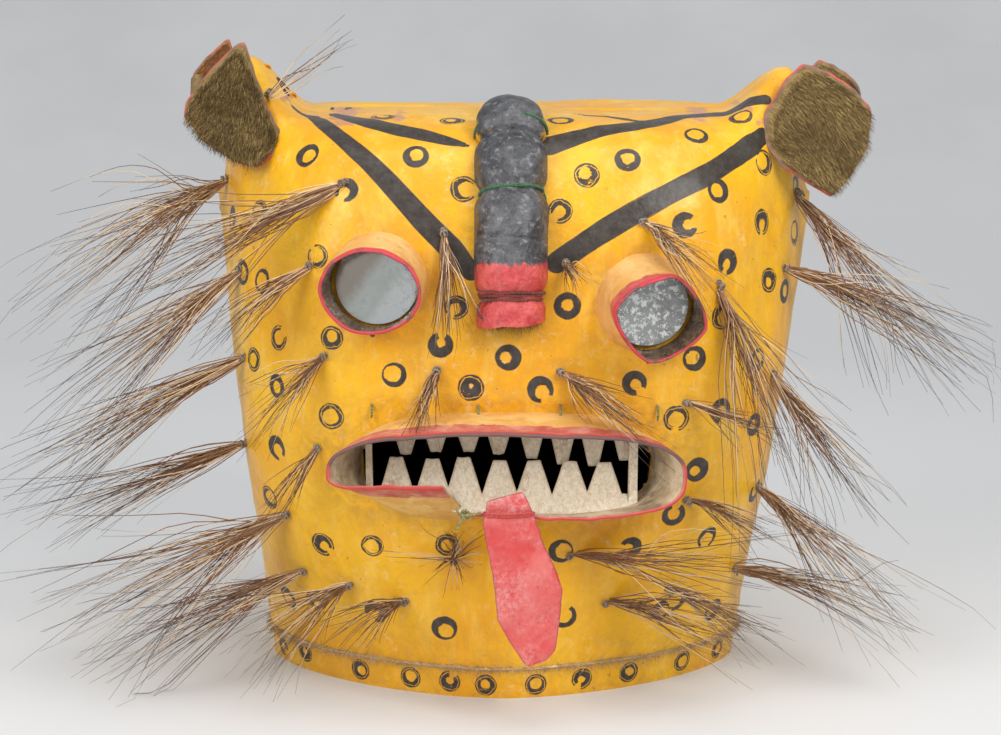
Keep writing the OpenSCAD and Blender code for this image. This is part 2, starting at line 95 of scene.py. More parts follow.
def noise(p, size, seed=0):
    """Smooth noise from -1 to 1 at points in mm, with bumps of the given size."""
    q = np.asarray(p, float) / size + 4096.0
    base = np.floor(q).astype(np.int64)
    f = q - base
    f = f * f * (3 - 2 * f)
    out = np.zeros(q.shape[:-1])
    for dx in (0, 1):
        for dy in (0, 1):
            for dz in (0, 1):
                w = (
                    (f[..., 0] if dx else 1 - f[..., 0])
                    * (f[..., 1] if dy else 1 - f[..., 1])
                    * (f[..., 2] if dz else 1 - f[..., 2])
                )
                out += w * lattice(
                    base[..., 0] + dx, base[..., 1] + dy, base[..., 2] + dz, seed
                )
    return out


def layered(p, size, seed=0, layers=3):
    return sum(noise(p, size / 2**k, seed + 31 * k) / 2**k for k in range(layers))


def unit(v):
    v = np.asarray(v, float)
    return v / np.maximum(np.linalg.norm(v, axis=-1, keepdims=True), 1e-12)


def signed_pow(v, p):
    return np.sign(v) * np.abs(v) ** p


# ---- Shape of the helmet, as in the CAD model, in mm ----

RIM_HALF_W, BROW_HALF_W, BROW_Z, CROWN_Z = 141, 179, 300, 334
CHIN_DEPTH, FACE_DEPTH, BACK_DEPTH, HIDE_T, BAND_H = 103, 124, 118, 3, 18
RISE_LEFT, RISE_RIGHT = 31, 24


def half_w(z):
    return mix(RIM_HALF_W, BROW_HALF_W, z / BROW_Z)


def lean(z):
    return 7 * np.clip(z / BROW_Z, 0, 1)


def ridge_z(u):
    a = np.abs(u)
    rise = np.where(u < 0, RISE_LEFT, RISE_RIGHT)
    return CROWN_Z + rise * smooth(0.66, 0.85, a) - (50 + rise) * smooth(0.87, 1, a)


def shell_point(u, z, inset=0.0, front=True):
    u, z = np.broadcast_arrays(np.asarray(u, float), np.asarray(z, float))
    a = np.minimum(np.abs(u), 1)
    crown = mix(5, 2, smooth(0.55, 0.88, a))
    t = np.clip(z / (ridge_z(u) - inset), 0, 1)
    if front:
        power = mix(1.65, 3.4, smooth(0, 0.5 * CROWN_Z, z))
        depth = mix(CHIN_DEPTH, FACE_DEPTH, smooth(0, 0.6 * CROWN_Z, z)) - inset
    else:
        power, depth = 2.5 + 0 * z, BACK_DEPTH - inset
    y = (
        (-1 if front else 1)
        * depth
        * np.maximum(0, 1 - a**power) ** (1 / power)
        * np.maximum(0, 1 - t**crown) ** (1 / crown)
    )
    return np.stack([lean(z) + (half_w(z) - inset) * u, y, z], -1)


def face_point(x, z, front=True):
    u = np.clip((np.asarray(x, float) - lean(z)) / half_w(z), -0.999, 0.999)
    p = shell_point(u, z, 0, front)
    p[..., 0] = x
    return p


def face_normal(x, z, front=True):
    across_x = face_point(x + 1.0, z, front) - face_point(x - 1.0, z, front)
    across_z = face_point(x, z + 1.0, front) - face_point(x, z - 1.0, front)
    return unit(np.cross(across_x, across_z)) * (1 if front else -1)


# ---- Meshes ----


def grid_quads(rows, cols, close_rows=False, close_cols=False):
    i, j = np.meshgrid(
        np.arange(rows if close_rows else rows - 1),
        np.arange(cols if close_cols else cols - 1),
        indexing="ij",
    )
    i2, j2 = (i + 1) % rows, (j + 1) % cols
    return np.stack([i * cols + j, i2 * cols + j, i2 * cols + j2, i * cols + j2], -1).reshape(-1, 4)


def build(
    name, points, faces, material, nodes, body="mask", point=None, corner=None, angle=55
):
    """A named piece from points in mm and arrays of faces, with any attributes."""
    mesh = bpy.data.meshes.new(name)
    points = np.asarray(points, float).reshape(-1, 3) * MM
    faces = [np.asarray(f, np.int32) for f in faces if len(f)]
    mesh.vertices.add(len(points))
    mesh.vertices.foreach_set("co", points.astype(np.float32).ravel())
    loops = np.concatenate([f.ravel() for f in faces])
    sizes = np.concatenate([np.full(len(f), f.shape[1]) for f in faces])
    mesh.loops.add(len(loops))
    mesh.loops.foreach_set("vertex_index", loops)
    mesh.polygons.add(len(sizes))
    mesh.polygons.foreach_set(
        "loop_start", np.concatenate([[0], np.cumsum(sizes)[:-1]]).astype(np.int32)
    )
    for domain, values in (("POINT", point or {}), ("CORNER", corner or {})):
        for key, value in values.items():
            value = np.asarray(value, np.float32)
            vector = value.ndim == 2
            layer = mesh.attributes.new(key, "FLOAT_VECTOR" if vector else "FLOAT", domain)
            layer.data.foreach_set("vector" if vector else "value", value.ravel())
    mesh.update(calc_edges=True)
    mesh.validate()
    mesh.shade_smooth()
    mesh.set_sharp_from_angle(angle=math.radians(angle))
    mesh.materials.append(material)
    obj = bpy.data.objects.new(name, mesh)
    scene.collection.objects.link(obj)
    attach(obj, body)
    if nodes:
        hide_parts(*nodes)
    return obj


def slab(outer, inner, rows, cols, keep=None):
    """Faces of a closed skin between two grids of points with the same rows and columns."""
    quads = grid_quads(rows, cols)
    if keep is not None:
        quads = quads[keep]
    count = rows * cols
    edges = np.concatenate([quads[:, [k, (k + 1) % 4]] for k in range(4)])
    code = edges[:, 0] * count + edges[:, 1]
    back = edges[:, 1] * count + edges[:, 0]
    open_edges = edges[~np.isin(code, back)]
    walls = np.stack(
        [open_edges[:, 1], open_edges[:, 0], open_edges[:, 0] + count, open_edges[:, 1] + count], -1
    )
    points = np.concatenate([outer.reshape(-1, 3), inner.reshape(-1, 3)])
    faces = np.concatenate([quads, quads[:, ::-1] + count, walls])
    used = np.unique(faces)
    lookup = np.zeros(len(points), np.int64)
    lookup[used] = np.arange(len(used))
    return points[used], lookup[faces], used


def signed_volume(points, quads):
    a, b, c, d = (points[quads[:, k]] for k in range(4))
    return float((np.cross(a, b) * c).sum() + (np.cross(a, c) * d).sum())


def outward(points, quads):
    """The same faces, turned to look out of the shape that they close."""
    return quads[:, ::-1] if signed_volume(points, quads) < 0 else quads


def matched(quads, cap):
    """The same cap, turned against the edges of the faces that it joins."""
    edges = set(map(tuple, np.concatenate([quads[:, [k, (k + 1) % 4]] for k in range(4)])))
    return cap[:, ::-1] if (cap[0, 0], cap[0, 1]) in edges else cap


def loft(loops, folded):
    """Points and faces through closed loops, with a strip or one face over each end."""
    rows, cols = loops.shape[:2]
    points = loops.reshape(-1, 3)
    quads = outward(points, grid_quads(rows, cols, False, True))
    k = np.arange(cols // 2 - 1)
    cap = np.stack([k, k + 1, cols - 2 - k, cols - 1 - k], -1) if folded else np.arange(cols)[None]
    return points, [quads, matched(quads, cap), matched(quads, cap + (rows - 1) * cols)]


def hair_facts(t, tone):
    """How far along its hair each point of three-sided hairs is, and the hair's tone."""
    return {"along": np.repeat(np.tile(t, len(tone)), 3), "tone": np.repeat(tone, 3 * len(t))}


def tubes(paths, radii, sides=3):
    """Points and faces of many tapered tubes with equal numbers of points."""
    paths = np.asarray(paths, float)
    count, steps = paths.shape[:2]
    along = unit(np.gradient(paths, axis=1))
    main = unit(paths[:, -1] - paths[:, 0])
    ref = np.where(np.abs(main[:, 2:3]) < 0.8, [[0.0, 0, 1]], [[1.0, 0, 0]])
    e1 = unit(np.cross(along, ref[:, None, :]))
    e2 = np.cross(along, e1)
    turn = TURN * np.arange(sides) / sides
    a = turn[None, :] + np.zeros((count, 1))
    ring = (
        np.cos(a)[
            :, None, :, None
        ] * e1[:, :, None, :] + np.sin(a)[:, None, :, None] * e2[:, :, None, :]
    )
    points = paths[:, :, None, :] + radii[:, :, None, None] * ring
    quads = grid_quads(steps, sides, close_cols=True)
    each = steps * sides
    shift = (np.arange(count) * each)[:, None, None]
    body = (quads[None] + shift).reshape(-1, 4)
    first = np.arange(sides)[::-1]
    caps = np.stack([first, (steps - 1) * sides + np.arange(sides)])
    caps = (caps[None] + shift).reshape(-1, sides)
    return points.reshape(-1, 3), [body[:, ::-1], caps[:, ::-1]]


def frames_along(path, closed=False):
    """Directions across a path, carried along it without twisting."""
    if closed:
        along = unit(np.roll(path, -1, 0) - np.roll(path, 1, 0))
    else:
        along = unit(np.gradient(path, axis=0))
    start = np.cross(along[0], [0.3, 0.2, 1.0])
    e = [unit(start)]
    for t in along[1:]:
        e.append(unit(e[-1] - t * (e[-1] @ t)))
    e1 = np.array(e)
    return along, e1, np.cross(along, e1)


def resample(path, step, closed=False):
    path = np.asarray(path, float)
    if closed:
        path = np.vstack([path, path[:1]])
    gone = np.concatenate([[0], np.cumsum(np.linalg.norm(np.diff(path, axis=0), axis=1))])
    n = max(6, int(gone[-1] / step))
    at = np.linspace(0, gone[-1], n + 1)[: n if closed else n + 1]
    return np.stack([np.interp(at, gone, path[:, k]) for k in range(3)], -1)


def round_path(path, step, passes=3, closed=False):
    """A path with its corners rounded."""
    p = resample(path, step, closed)
    for _ in range(passes):
        if closed:
            p = (np.roll(p, 1, 0) + 2 * p + np.roll(p, -1, 0)) / 4
        else:
            p[1:-1] = (p[:-2] + 2 * p[1:-1] + p[2:]) / 4
    return p


def rope(paths, radius, plies=3, pitch=7.0, step=0.9, closed=False, seed=0, sides=7):
    """Points and faces of twisted ropes that follow the paths."""
    all_points, quads, caps, base = [], [], [], 0
    rng = np.random.default_rng(seed)
    for path in paths:
        path = round_path(path, step, 3, closed)
        _, e1, e2 = frames_along(path, closed)
        gone = np.arange(len(path)) * step
        turns = max(1, round(gone[-1] / pitch)) / max(gone[-1], 1e-6) if closed else 1 / pitch
        start = rng.uniform(0, TURN)
        for k in range(plies):
            a = start + TURN * (gone * turns + k / plies)
            line = path + 0.5 * radius * (np.cos(a)[:, None] * e1 + np.sin(a)[:, None] * e2)
            angle = TURN * np.arange(sides) / sides
            ring = (
                np.cos(angle)[None, :, None] * e1[:, None]
                + np.sin(angle)[None, :, None] * e2[:, None]
            )
            fat = 0.62 * radius * (1 + 0.07 * noise(line, 2.0, seed + k))
            pts = line[:, None] + fat[:, None, None] * ring
            all_points.append(pts.reshape(-1, 3))
            quads.append(grid_quads(len(path), sides, closed, True)[:, ::-1] + base)
            if not closed:
                ends = np.stack(
                    [np.arange(sides), (len(path) - 1) * sides + np.arange(sides)[::-1]]
                )
                caps.append(ends + base)
            base += pts.size // 3
    faces = [np.concatenate(quads)] + ([np.concatenate(caps)] if caps else [])
    return np.concatenate(all_points), faces


def joined(parts):
    """Points and faces of several shells as one."""
    points, groups, base = [], {}, 0
    for pts, faces in parts:
        pts = np.asarray(pts).reshape(-1, 3)
        points.append(pts)
        for f in faces:
            f = np.asarray(f)
            if len(f):
                groups.setdefault(f.shape[1], []).append(f + base)
        base += len(pts)
    return np.concatenate(points), [np.concatenate(g) for g in groups.values()]


# ---- Materials ----


class Paint:
    """A material made of nodes round one principled shader."""

    def __init__(self, name, **fixed):
        self.material = bpy.data.materials.new(name)
        self.material.use_nodes = True
        self.tree = self.material.node_tree
        self.tree.nodes.clear()
        out = self.tree.nodes.new("ShaderNodeOutputMaterial")
        self.shader = self.tree.nodes.new("ShaderNodeBsdfPrincipled")
        self.tree.links.new(self.shader.outputs[0], out.inputs[0])
        self.place = self.tree.nodes.new("ShaderNodeTexCoord").outputs["Object"]
        self.set(**fixed)

    def put(self, socket, value):
        if isinstance(value, bpy.types.NodeSocket):
            self.tree.links.new(value, socket)
        elif isinstance(value, (tuple, list)):
            full = len(socket.default_value)
            socket.default_value = (*value, 1)[:full] if full == 4 else tuple(value)
        else:
            socket.default_value = value

    def set(self, **values):
        for key, value in values.items():
            self.put(self.shader.inputs[key.replace("_", " ")], value)

    def math(self, op, a, b=0.0, clamp=False):
        node = self.tree.nodes.new("ShaderNodeMath")
        node.operation, node.use_clamp = op, clamp
        self.put(node.inputs[0], a)
        self.put(node.inputs[1], b)
        return node.outputs[0]

    def stretch(self, by):
        node = self.tree.nodes.new("ShaderNodeVectorMath")
        node.operation = "MULTIPLY"
        self.put(node.inputs[0], self.place)
        self.put(node.inputs[1], by)
        return node.outputs["Vector"]

    def noise(self, scale, detail=3.0, rough=0.55, vector=None, warp=0.0):
        node = self.tree.nodes.new("ShaderNodeTexNoise")
        self.put(node.inputs["Vector"], vector or self.place)
        node.inputs["Scale"].default_value = scale
        node.inputs["Detail"].default_value = detail
        node.inputs["Roughness"].default_value = rough
        node.inputs["Distortion"].default_value = warp
        return node.outputs[0]

    def cells(self, scale):
        node = self.tree.nodes.new("ShaderNodeTexVoronoi")
        self.put(node.inputs["Vector"], self.place)
        node.inputs["Scale"].default_value = scale
        return node.outputs["Distance"]

    def step(self, value, low, high, to_low=0.0, to_high=1.0):
        node = self.tree.nodes.new("ShaderNodeMapRange")
        node.interpolation_type = "SMOOTHSTEP"
        for socket, v in zip(node.inputs, (value, low, high, to_low, to_high)):
            self.put(socket, v)
        return node.outputs[0]

    def mix(self, share, a, b):
        node = self.tree.nodes.new("ShaderNodeMix")
        node.data_type = "RGBA"
        self.put(node.inputs[0], share)
        self.put(node.inputs[6], a)
        self.put(node.inputs[7], b)
        return node.outputs[2]

    def number(self, share, a, b):
        node = self.tree.nodes.new("ShaderNodeMix")
        self.put(node.inputs[0], share)
        self.put(node.inputs[2], a)
        self.put(node.inputs[3], b)
        return node.outputs[0]

    def attribute(self, name, vector=False):
        node = self.tree.nodes.new("ShaderNodeAttribute")
        node.attribute_name = name
        return node.outputs["Vector" if vector else "Fac"]

    def parts(self, vector):
        node = self.tree.nodes.new("ShaderNodeSeparateXYZ")
        self.put(node.inputs[0], vector)
        return node.outputs

    def relief(self, height, distance, strength=1.0, normal=None):
        node = self.tree.nodes.new("ShaderNodeBump")
        node.inputs["Distance"].default_value = distance
        node.inputs["Strength"].default_value = strength
        self.put(node.inputs["Height"], height)
        if normal is not None:
            self.put(node.inputs["Normal"], normal)
        return node.outputs[0]


def hide_paint(name, yellow, deep, pale):
    """Brushed yellow paint on rawhide, with hand-printed rings, stripes and wear, brown dirt mixed
    with painted shade, and a near-black inner side painted as shade.
    """
    p = Paint(name, Coat_Weight=0.16, Coat_Roughness=0.16, Specular_IOR_Level=0.28)
    broad = p.noise(14, 4, 0.6)
    brushed = p.noise(60, 4, 0.65, p.stretch((1.0, 1.0, 0.25)))
    blotch = p.noise(38, 5, 0.7, warp=0.6)
    fine = p.noise(420, 3, 0.6)
    colour = p.mix(p.step(broad, 0.35, 0.65), deep, yellow)
    colour = p.mix(p.math("MULTIPLY", p.step(brushed, 0.48, 0.75), 0.7), colour, pale)
    colour = p.mix(
        p.math("MULTIPLY", p.step(blotch, 0.56, 0.74), 0.40), colour, (0.62, 0.24, 0.020)
    )
    # dirt mixed with painted shade: brown darkening from the per-point attribute, strongest at the
    # feet of the raised parts, at the sides and towards the bottom, broken into patches by noise
    grime_and_shade = p.attribute("grime_and_shade")
    patch_noise = p.noise(90, 6, 0.75, warp=1.0)
    dirt = p.math("MULTIPLY", grime_and_shade, p.step(patch_noise, 0.34, 0.64), clamp=True)
    colour = p.mix(p.math("MULTIPLY", dirt, 0.62), colour, (0.36, 0.19, 0.055))
    bare = p.attribute("bare")
    bare_mask = p.step(
        p.math("ADD", bare, p.math("MULTIPLY", p.noise(130, 5, 0.7), 0.9)), 0.95, 1.12
    )
    colour = p.mix(p.math("MULTIPLY", bare_mask, 0.8), colour, (0.50, 0.22, 0.13))
    dust = p.math(
        "MULTIPLY", p.step(p.noise(150, 6, 0.8), 0.54, 0.66), p.step(p.noise(20, 3), 0.42, 0.60)
    )
    colour = p.mix(p.math("MULTIPLY", dust, 0.40), colour, (0.80, 0.62, 0.36))
    scratch = p.step(p.noise(300, 3, 0.6, p.stretch((1.0, 0.6, 0.07))), 0.70, 0.76)
    colour = p.mix(p.math("MULTIPLY", scratch, 0.35), colour, (0.90, 0.72, 0.42))
    speck = p.step(p.noise(260, 2, 0.5), 0.72, 0.78)
    colour = p.mix(p.math("MULTIPLY", speck, 0.6), colour, (0.20, 0.09, 0.03))
    # printed rings: local place and dryness, then opening, shift and size of the hole
    u, v, seed = p.parts(p.attribute("spot", True))
    gap, shift, hole = p.parts(p.attribute("spot_kind", True))
    wobble = p.math("SUBTRACT", p.noise(210, 3, 0.6), 0.5)
    away = p.math("SQRT", p.math("ADD", p.math("POWER", u, 2.0), p.math("POWER", v, 2.0)))
    disc = p.step(p.math("ADD", away, p.math("MULTIPLY", wobble, 0.16)), 1.02, 0.93)
    moved = p.math("SUBTRACT", u, shift)
    from_hole = p.math("SQRT", p.math("ADD", p.math("POWER", moved, 2.0), p.math("POWER", v, 2.0)))
    hole_edge = p.math("SUBTRACT", p.math("ADD", from_hole, p.math("MULTIPLY", wobble, 0.42)), hole)
    ring = p.math("MULTIPLY", disc, p.step(hole_edge, -0.03, 0.05))
    angle = p.math("ABSOLUTE", p.math("ARCTAN2", v, u))
    opened = p.step(
        p.math("SUBTRACT", p.math("ADD", angle, p.math("MULTIPLY", wobble, 0.5)), gap), -0.06, 0.08
    )
    ring = p.math("MULTIPLY", ring, opened)
    swirl = p.noise(3.2, 5, 0.7, p.attribute("spot", True), 1.2)
    broad_swirl = p.noise(1.1, 2, 0.5, p.attribute("spot", True))
    slit_at = p.math(
        "ABSOLUTE",
        p.math("SUBTRACT", p.math("ADD", away, p.math("MULTIPLY", broad_swirl, 0.5)), 1.03)
    )
    slit = p.math("MULTIPLY", p.step(slit_at, 0.060, 0.025), p.step(seed, 0.925, 0.935))
    slit = p.math(
        "MULTIPLY", slit, p.math("MULTIPLY", p.step(seed, 1.05, 1.01), p.step(swirl, 0.36, 0.46))
    )
    ring = p.math("MULTIPLY", ring, p.math("SUBTRACT", 1.0, p.math("MULTIPLY", slit, 0.9)))
    dry = p.step(
        p.noise(300, 4, 0.75), p.math("SUBTRACT", seed, 0.66), p.math("SUBTRACT", seed, 0.58)
    )
    ring = p.math("MULTIPLY", ring, dry)
    # stripes: distance inside the edge in mm, how dry the brush was, and which side of the hide
    inside, dryness, raw = p.parts(p.attribute("stripe", True))
    streaks = p.noise(150, 4, 0.65, p.attribute("brush", True))
    ragged = p.math("MULTIPLY", p.math("SUBTRACT", streaks, 0.5), p.math("MULTIPLY", dryness, 14.0))
    band = p.step(p.math("ADD", inside, ragged), -0.30, 0.30)
    black = p.math("MAXIMUM", ring, band)
    ink = p.mix(
        p.step(p.noise(170, 5, 0.75), 0.36, 0.72), (0.013, 0.014, 0.017), (0.055, 0.056, 0.060)
    )
    ink = p.mix(p.math("MULTIPLY", p.step(swirl, 0.40, 0.68), 0.5), ink, (0.038, 0.041, 0.048))
    colour = p.mix(p.math("MULTIPLY", black, 0.97), colour, ink)
    rough = p.number(p.step(p.noise(45, 4, 0.6), 0.3, 0.7), 0.28, 0.46)
    rough = p.math("ADD", rough, p.math("MULTIPLY", dirt, 0.25))
    rough = p.number(black, rough, 0.40)
    grain = p.relief(p.cells(330), 0.0005, 0.22)
    grain = p.relief(fine, 0.0005, 0.35, grain)
    creases = p.relief(p.noise(34, 5, 0.60, warp=0.8), 0.004, 0.30, grain)
    edge = p.relief(p.math("MULTIPLY", black, 0.5), 0.0006, 0.4, creases)
    # the inner side of the hide is coloured near-black: the raw side darkened into painted shade
    # for the inside of the helmet
    back = p.mix(p.step(blotch, 0.35, 0.65), (0.020, 0.013, 0.009), (0.045, 0.030, 0.020))
    colour = p.mix(p.step(raw, 0.45, 0.55), colour, back)
    p.set(Base_Color=colour, Roughness=p.number(p.step(raw, 0.45, 0.55), rough, 0.85), Normal=edge)
    return p.material


painted_hide = hide_paint(
    "painted_hide", (0.88, 0.475, 0.008), (0.80, 0.365, 0.006), (0.92, 0.57, 0.085)
)


def tube_paint(name, outer, outer_dark, lining, lining_dark, red, worn_red, hairy):
    """Hide tube with painted outside, a red band at its rim and its own lining."""
    p = Paint(name, Specular_IOR_Level=0.4)
    rim = p.attribute("rim_mm")
    band_w = p.attribute("band_mm")
    inner = p.step(p.attribute("inner"), 0.45, 0.55)
    wobble = p.math(
        "MULTIPLY", p.math("SUBTRACT", p.noise(110, 4, 0.65), 0.5), p.math("MULTIPLY", band_w, 0.9)
    )
    band = p.step(p.math("ADD", p.math("SUBTRACT", rim, band_w), wobble), 0.8, -0.8)
    outside = p.mix(p.step(p.noise(42, 5, 0.7, warp=0.5), 0.36, 0.66), outer_dark, outer)
    outside = p.mix(
        p.math("MULTIPLY", p.step(p.noise(120, 5, 0.75), 0.56, 0.7), 0.45), outside,
        (0.34, 0.18, 0.07)
    )
    faded = p.mix(
        p.step(p.noise(75, 5, 0.7), 0.36, 0.68), (red[0] * 0.75, red[1] * 1.6, red[2] * 1.5),
        worn_red
    )
    near = p.step(p.math("ADD", rim, p.math("MULTIPLY", p.noise(140, 4, 0.7), 4.0)), 6.2, 3.6)
    paint = p.mix(near, faded, red)
    outside = p.mix(band, outside, paint)
    streaks = p.noise(260 if hairy else 70, 5, 0.7, p.stretch((1, 0.12, 1)) if hairy else None)
    inside = p.mix(p.step(streaks, 0.36, 0.64), lining_dark, lining)
    inside = p.mix(
        p.math("MULTIPLY", p.step(p.noise(28, 4, 0.7), 0.50, 0.66), 0.6), inside,
        (0.13, 0.085, 0.055)
    )
    lip = p.step(p.math("ADD", rim, p.math("MULTIPLY", p.noise(160, 3, 0.6), 1.6)), 1.5, 0.9)
    colour = p.mix(inner, outside, inside)
    colour = p.mix(p.math("MULTIPLY", lip, 0.8), colour, (red[0] * 0.8, red[1] * 1.2, red[2] * 1.2))
    if hairy:
        where = p.step(p.noise(70, 4, 0.7), 0.54, 0.64)
    else:
        height = p.math("ADD", p.parts(p.place)[2], p.math("MULTIPLY", p.noise(60, 4, 0.7), 0.02))
        where = p.step(height, 0.157, 0.163)
    worn = p.math("MULTIPLY", lip, where)
    colour = p.mix(p.math("MULTIPLY", worn, 0.85), colour, (0.105, 0.080, 0.075))
    grain = p.relief(p.noise(380, 4, 0.65), 0.0006, 0.5)
    folds = p.relief(p.noise(48, 5, 0.62, warp=0.7), 0.004, 0.45, grain)
    p.set(
        Base_Color=colour, Roughness=p.number(p.step(p.noise(60, 3), 0.3, 0.7), 0.34, 0.60),
        Normal=folds
    )
    return p.material


mouth_paint = tube_paint(
    "mouth_hide", (0.84, 0.56, 0.20), (0.72, 0.38, 0.09), (0.76, 0.60, 0.40), (0.46, 0.33, 0.20),
    (0.66, 0.055, 0.050), (0.66, 0.28, 0.21), False
)
eye_paint = tube_paint(
    "eye_hide", (0.84, 0.52, 0.20), (0.74, 0.37, 0.10), (0.22, 0.135, 0.080), (0.07, 0.042, 0.028),
    (0.68, 0.045, 0.060), (0.62, 0.16, 0.12), True
)


def nose_paint():
    """Black paint on a rough leather roll, scuffed grey, with a ragged red end."""
    p = Paint("nose_leather", Specular_IOR_Level=0.5, Coat_Weight=0.25, Coat_Roughness=0.28)
    coarse = p.noise(70, 6, 0.72, warp=0.6)
    scuffs = p.noise(240, 5, 0.72)
    base = p.mix(p.step(coarse, 0.36, 0.66), (0.030, 0.030, 0.034), (0.105, 0.104, 0.110))
    base = p.mix(p.math("MULTIPLY", p.step(scuffs, 0.53, 0.66), 0.75), base, (0.26, 0.255, 0.26))
    base = p.mix(p.math("MULTIPLY", p.step(scuffs, 0.42, 0.34), 0.7), base, (0.012, 0.012, 0.014))
    s = p.attribute("along_mm")
    edge = p.math(
        "MULTIPLY", p.math("SUBTRACT", p.noise(110, 6, 0.75, p.stretch((1.3, 1, 0.8))), 0.5), 15.0
    )
    red_zone = p.step(p.math("ADD", s, edge), 34.0, 32.0)
    red = p.mix(
        p.step(p.noise(85, 5, 0.72), 0.34, 0.66), (0.50, 0.030, 0.034), (0.72, 0.115, 0.100)
    )
    red = p.mix(
        p.math("MULTIPLY", p.step(p.noise(300, 4, 0.7), 0.56, 0.66), 0.45), red, (0.24, 0.07, 0.065)
    )
    colour = p.mix(red_zone, base, red)
    yellow = p.math("MULTIPLY", p.attribute("yellow"), p.step(p.noise(120, 4, 0.7), 0.40, 0.52))
    colour = p.mix(yellow, colour, (0.80, 0.38, 0.02))
    grain = p.relief(p.cells(420), 0.0006, 0.5)
    grain = p.relief(scuffs, 0.0012, 0.8, grain)
    rough = p.relief(coarse, 0.0035, 0.70, grain)
    p.set(
        Base_Color=colour, Roughness=p.number(p.step(scuffs, 0.35, 0.7), 0.36, 0.62), Normal=rough
    )
    return p.material


def tongue_paint():
    """Worn red paint on stiff hide, with pale scuffs and dark edges."""
    p = Paint("red_hide", Specular_IOR_Level=0.5, Coat_Weight=0.20, Coat_Roughness=0.25)
    body = p.noise(46, 6, 0.7, warp=0.5)
    colour = p.mix(p.step(body, 0.34, 0.66), (0.60, 0.045, 0.042), (0.66, 0.13, 0.115))
    haze = p.math(
        "MULTIPLY", p.step(p.noise(340, 6, 0.8), 0.42, 0.62), p.step(p.noise(26, 3), 0.34, 0.60)
    )
    colour = p.mix(p.math("MULTIPLY", haze, 0.62), colour, (0.72, 0.38, 0.36))
    colour = p.mix(
        p.math("MULTIPLY", p.step(p.noise(200, 4, 0.7), 0.60, 0.70), 0.5), colour,
        (0.34, 0.05, 0.045)
    )
    rim = p.attribute("rim_mm")
    worn = p.step(p.math("ADD", rim, p.math("MULTIPLY", p.noise(150, 4, 0.65), 2.6)), 2.4, 1.3)
    colour = p.mix(p.math("MULTIPLY", worn, 0.6), colour, (0.30, 0.05, 0.045))
    grain = p.relief(p.noise(330, 4, 0.65), 0.0008, 0.6)
    folds = p.relief(body, 0.003, 0.55, grain)
    p.set(
        Base_Color=colour, Roughness=p.number(p.step(p.noise(90, 3), 0.3, 0.7), 0.30, 0.52),
        Normal=folds
    )
    return p.material


def tooth_paint():
    """Cream hide with short hair left on in patches."""
    p = Paint("tooth_hide", Specular_IOR_Level=0.3)
    patch = p.noise(42, 4, 0.65, warp=0.6)
    hair = p.noise(520, 4, 0.65, p.stretch((1.0, 0.8, 0.65)), 1.2)
    colour = p.mix(p.step(hair, 0.34, 0.64), (0.62, 0.51, 0.37), (0.80, 0.71, 0.57))
    brown = p.math("MULTIPLY", p.step(patch, 0.50, 0.66), p.step(hair, 0.66, 0.40))
    colour = p.mix(p.math("MULTIPLY", brown, 0.6), colour, (0.36, 0.23, 0.13))
    edge = p.step(p.attribute("rim_mm"), 1.4, 0.4)
    colour = p.mix(p.math("MULTIPLY", edge, 0.35), colour, (0.42, 0.30, 0.19))
    p.set(Base_Color=colour, Roughness=0.72, Normal=p.relief(hair, 0.0010, 0.7))
    return p.material


def fibre_paint(name, root, middle, tip, pale, rough=0.55, sheen=0.0):
    """Thin hairs whose colour changes along them and from one to the next."""
    p = Paint(name, Specular_IOR_Level=0.35, Sheen_Weight=sheen)
    along = p.attribute("along")
    tone = p.attribute("tone")
    colour = p.mix(p.step(along, 0.0, 0.35), root, middle)
    colour = p.mix(p.step(along, 0.35, 0.9), colour, tip)
    light = p.math("MULTIPLY", p.step(tone, 0.62, 0.74), p.step(along, 1.0, 0.70))
    colour = p.mix(p.math("MULTIPLY", light, 0.9), colour, pale)
    colour = p.mix(p.math("MULTIPLY", p.step(tone, 0.22, 0.05), 0.6), colour, tip)
    colour = p.mix(p.math("MULTIPLY", p.noise(500, 2), 0.25), colour, tip)
    p.set(Base_Color=colour, Roughness=p.number(p.noise(200, 2), rough - 0.1, rough + 0.1))
    return p.material


def twine_paint(name, dark, light, dirt):
    p = Paint(name, Specular_IOR_Level=0.25, Sheen_Weight=0.2, Sheen_Roughness=0.5)
    fibres = p.noise(900, 4, 0.7)
    colour = p.mix(p.step(fibres, 0.32, 0.68), dark, light)
    colour = p.mix(p.math("MULTIPLY", p.step(p.noise(120, 4, 0.7), 0.5, 0.68), 0.65), colour, dirt)
    p.set(Base_Color=colour, Roughness=0.82, Normal=p.relief(fibres, 0.0004, 0.8))
    return p.material


